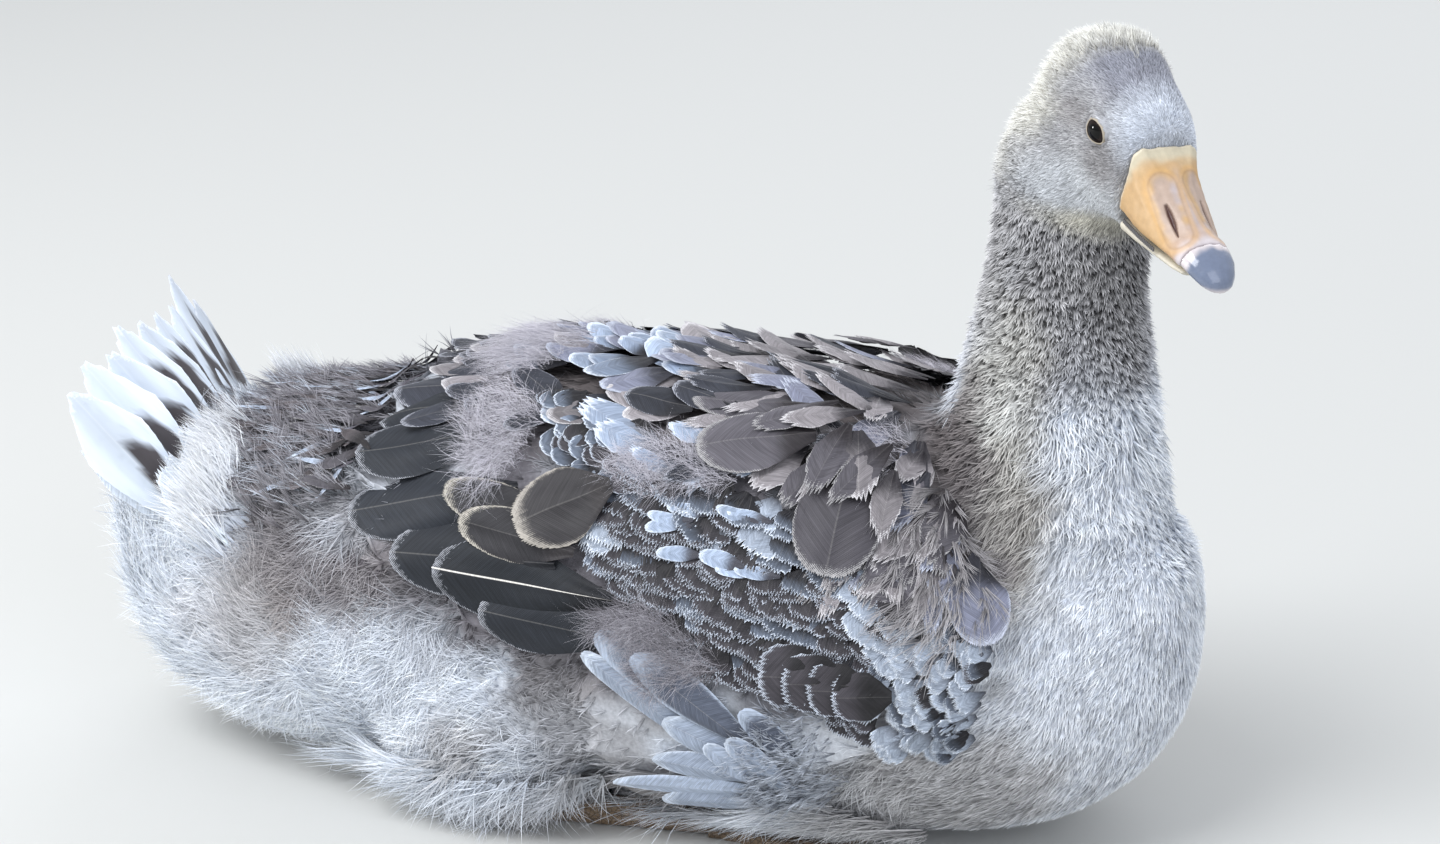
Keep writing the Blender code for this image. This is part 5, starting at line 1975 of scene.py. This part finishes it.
@dataclass
class Studio:
    """A pale floor, soft lights and the camera."""

    azimuth: float = math.radians(18)
    elevation: float = math.radians(20)
    distance: float = 1.458
    target: Triple = (-0.0092, 0.0526, 0.1453)
    lens: float = 82.25
    lit: Triple = (0, 0, 0.12)  # what the lights are aimed at
    # Each lamp's name, place, size in metres, power in watts and colour.
    lamps: tuple[tuple, ...] = (
        ("key", (-0.9, -1.4, 2.2), 1.6, 60.0, "#FAFCFF"),
        ("fill", (1.8, -1.6, 1.2), 1.8, 19.0, "#EEF3FF"),
        ("back", (0.2, 1.9, 1.6), 1.8, 16.0, "#F4F7FF"),
        ("eye", (-1.9, -0.7, 0.45), 0.25, 11.0, "#FFFFFF"),
    )

    def build(self) -> None:
        """Sets up the whole studio."""
        level = math.cos(self.elevation)
        back = Vector((math.sin(self.azimuth) * level, -math.cos(self.azimuth) * level,
                       math.sin(self.elevation)))
        lens = bpy.data.cameras.new("camera")
        lens.lens = self.lens
        lens.clip_start, lens.clip_end = 0.02, 50
        bpy.context.scene.camera = self.hang(lens, Vector(self.target) + back * self.distance, -back)
        self.floor()
        for lamp in self.lamps:
            self.light(*lamp)
        world = bpy.data.worlds.new("studio")
        world.use_nodes = True
        sky = world.node_tree.nodes["Background"]
        sky.inputs["Color"].default_value = rgba("#EDF1F6")
        sky.inputs["Strength"].default_value = 0.80
        bpy.context.scene.world = world
        bpy.context.scene.view_settings.view_transform = "Standard"

    def floor(self) -> None:
        """Lays a plain pale floor."""
        bm = bmesh.new()
        bmesh.ops.create_grid(bm, x_segments=1, y_segments=1, size=12.0)
        mesh = mesh_of(bm)
        mesh.materials.append(Paint().material())
        new_object("floor", mesh)

    def light(self, name: str, at: Triple, size: float, power: float, tone: str) -> None:
        """Hangs a soft square light aimed at the bird.

        Args:
            name: its name.
            at: its place.
            size: the length of its side.
            power: its power in watts.
            tone: its sRGB hex colour.
        """
        lamp = bpy.data.lights.new(name, "AREA")
        lamp.size, lamp.energy = size, power
        lamp.color = linear(tone)
        self.hang(lamp, Vector(at), Vector(self.lit) - Vector(at))

    def hang(self, data: bpy.types.Camera | bpy.types.Light, at: Vector, way: Vector) -> bpy.types.Object:
        """Puts a camera or a lamp in its place.

        Args:
            data: the camera or lamp.
            at: its place.
            way: the direction that it faces.

        Returns:
            The object that holds it.
        """
        hung = bpy.data.objects.new(data.name, data)
        hung.location = at
        hung.rotation_mode = "QUATERNION"
        hung.rotation_quaternion = way.to_track_quat("-Z", "Y")
        bpy.context.scene.collection.objects.link(hung)
        return hung


# ---------------------------------------------------------------- the whole bird

NAPE = (Patch((-39, 0, 4), (22, 46, 50), on=On.HEAD, soft=0.22),)
CROWN = alike(
    Patch((-22, 16, 32), (26, 18, 12), side=1),
    Patch((-32, 0, 28), (12, 30, 14)),
    on=On.HEAD, soft=0.3)
SHOULDER = (Patch((124, -68, 146), (20, 30, 34), soft=0.3, ragged=0.3),)
RUMP_TOP = (Patch((-166, -30, 150), (36, 50, 34), soft=0.3, ragged=0.3),)
TAIL_BASE = (Patch((-197, -52, 128), (11, 30, 32), soft=0.3, ragged=0.2),)
FLIGHT_ROOTS = (Patch((72, -98, 58), (20, 20, 24), soft=0.4, ragged=0.4),)
LOW_FLANK = (
    Patch((-10, -80, 20), (120, 45, 18), soft=0.3, ragged=0.2, side=-1),
    Patch((-10, -80, 20), (110, 45, 16), soft=0.3, ragged=0.2, side=1, most=0.5),
)
DOWN_CLUMPS = (
    Patch((-68, -62, 172), (14, 22, 24), soft=0.5, ragged=0.5),
    Patch((-70, -10, 190), (16, 18, 12), soft=0.5, ragged=0.5),
    Patch((10, -72, 170), (20, 12, 10), soft=0.5, ragged=0.6),
    Patch((88, -50, 176), (12, 16, 10), soft=0.5, ragged=0.5, most=0.6),
)
DARK_CLUMPS = (
    Patch((4, -100, 114), (15, 16, 9), soft=0.4, ragged=0.5),
    Patch((24, -100, 100), (20, 16, 9), soft=0.4, ragged=0.5),
)
COATS = (
    Coat("head_down", ("head",), Tuft.VELVET, 44000, "head_feather", 11, swirl=0.30, wider=1.15, patchy=0.17),
    Coat("nape_down", ("head", "neck"), Tuft.SPIKY, 3700, "head_feather", 12, only=NAPE, longer=1.75,
         wider=0.9, deeper=3.4, patchy=0.16),
    Coat("crown_down", ("head",), Tuft.SPIKY, 900, "head_feather", 24, only=CROWN, longer=1.9, deeper=3.8,
         patchy=0.18, dye=shade("#F4F3EC", "#9C988F")),
    Coat("neck_down", ("neck",), Tuft.SPIKY, 12300, "neck_down", 13, swirl=0.5, deeper=1.6, wider=1.45),
    Coat("breast_down", ("breast",), Tuft.SPIKY, 12500, "breast_feather", 14, swirl=0.3),
    Coat("flank_down_right", ("trunk", "thigh_right"), Tuft.SOFT, 6250, "flank_down", 15, side=-1, swirl=0.8,
         patchy=0.17),
    Coat("flank_down_left", ("trunk", "thigh_left"), Tuft.SOFT, 2900, "flank_down", 16, side=1, swirl=0.8),
    Coat("rump_down_right", ("rump",), Tuft.SOFT, 5800, "white_feather", 17, side=-1, swirl=0.7,
         patchy=0.15),
    Coat("rump_down_left", ("rump",), Tuft.SOFT, 2600, "white_feather", 18, side=1, swirl=0.7),
    Coat("wing_down_right", UNDER_WING, Tuft.SOFT, 1100, "mantle_feather", 19, side=-1, deeper=0.5),
    Coat("wing_down_left", UNDER_WING, Tuft.SOFT, 1000, "mantle_feather", 20, side=1, deeper=0.5),
    Coat("shoulder_locks", (*UNDER_WING, "trunk"), Tuft.LOCK, 360, "mantle_feather", 21, only=SHOULDER,
         longer=2.0, wider=1.2, deeper=1.8, swirl=0.5, lifted=1.5 * MM, dye=shade("#B9B6B8", "#5A5658")),
    Coat("rump_locks", ("rump", "trunk"), Tuft.LOCK, 900, "white_feather", 22, only=RUMP_TOP, longer=1.0,
         deeper=1.3, swirl=0.7, lifted=1.0 * MM, dye=shade("#A8A5AB", "#353235")),
    Coat("rump_streaks", ("rump", "trunk"), Tuft.LOCK, 150, "white_feather", 28, only=RUMP_TOP, longer=1.1,
         deeper=0.9, swirl=0.5, lifted=2.5 * MM, dye=shade("#D8DFEA", "#7C8089")),
    Coat("tail_base_down", ("rump",), Tuft.LOCK, 900, "white_feather", 25, only=TAIL_BASE, longer=1.5,
         wider=1.9, deeper=1.6, swirl=0.35, aim=(-0.80, -0.20, 0.70), dye=shade("#FFFFFF", "#EAF2FF")),
    Coat("low_flank_down", ("trunk", "thigh_right", "thigh_left"), Tuft.SOFT, 2200, "flank_down", 26,
         only=LOW_FLANK, longer=1.5, deeper=1.2, lifted=3.0 * MM, swirl=0.5),
    Coat("flight_root_down", ("trunk", "thigh_right", *UNDER_WING), Tuft.SOFT, 900, "flank_down", 29,
         only=FLIGHT_ROOTS, longer=0.9, deeper=1.2, lifted=5.0 * MM, swirl=0.6, aim=(-0.75, -0.2, 0.3),
         dye=shade("#BFC6D2", "#757981")),
    Coat("loose_down", (*UNDER_WING, "trunk"), Tuft.WISPY, 3900, "mantle_feather", 23, only=DOWN_CLUMPS,
         longer=1.5, deeper=1.2, wider=0.26, swirl=0.9, lifted=5.0 * MM, patchy=0.06,
         dye=shade("#E9E7EF", "#CFCCD5")),
    Coat("dark_loose_down", (*UNDER_WING, "trunk"), Tuft.WISPY, 1800, "mantle_feather", 27, only=DARK_CLUMPS,
         longer=1.6, deeper=1.1, wider=0.28, swirl=1.2, lifted=3.8 * MM, patchy=0.10,
         dye=shade("#C6C4CB", "#8A868C")),
)


def main() -> None:
    """Builds the bird, piece by piece, then the studio."""
    logging.basicConfig(level=logging.INFO, format="%(message)s")
    bpy.context.view_layer.update()
    down, vane = Down().material(), VaneKeratin().material()
    body = Body()
    body.build(Felt().material())
    for coat in COATS:
        coat.build(body, down)
    Wing(body).build(vane)
    Wing(body, left=True).build(vane)
    Tail(body).build(vane)
    Rump(body).build(vane)
    Bill().build(Horn("bill horn, waxy skin over bone", 0.42).material(),
                 Horn("nail horn, polished by use", 0.22, coat=0.7).material())
    wet = Horn("cornea, wet", 0.05, shine=0.22, bumps=0.0).material()
    lid = Horn("bare lid skin", 0.5).material()
    leg_skin, claw = LegSkin().material(), Horn("claw horn, worn", 0.45).material()
    for side in ("right", "left"):
        Eye(side).build(wet, lid)
    for side in ("right", "left"):
        Leg(side).build(leg_skin, claw)
    Studio().build()
    bpy.context.view_layer.update()
    shown = [o for o in bpy.data.objects if o.type == "MESH" and o.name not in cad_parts]
    LOG.info("%d triangles in all", sum(len(o.data.loops) - 2 * len(o.data.polygons) for o in shown))


if __name__ == "__main__":
    main()
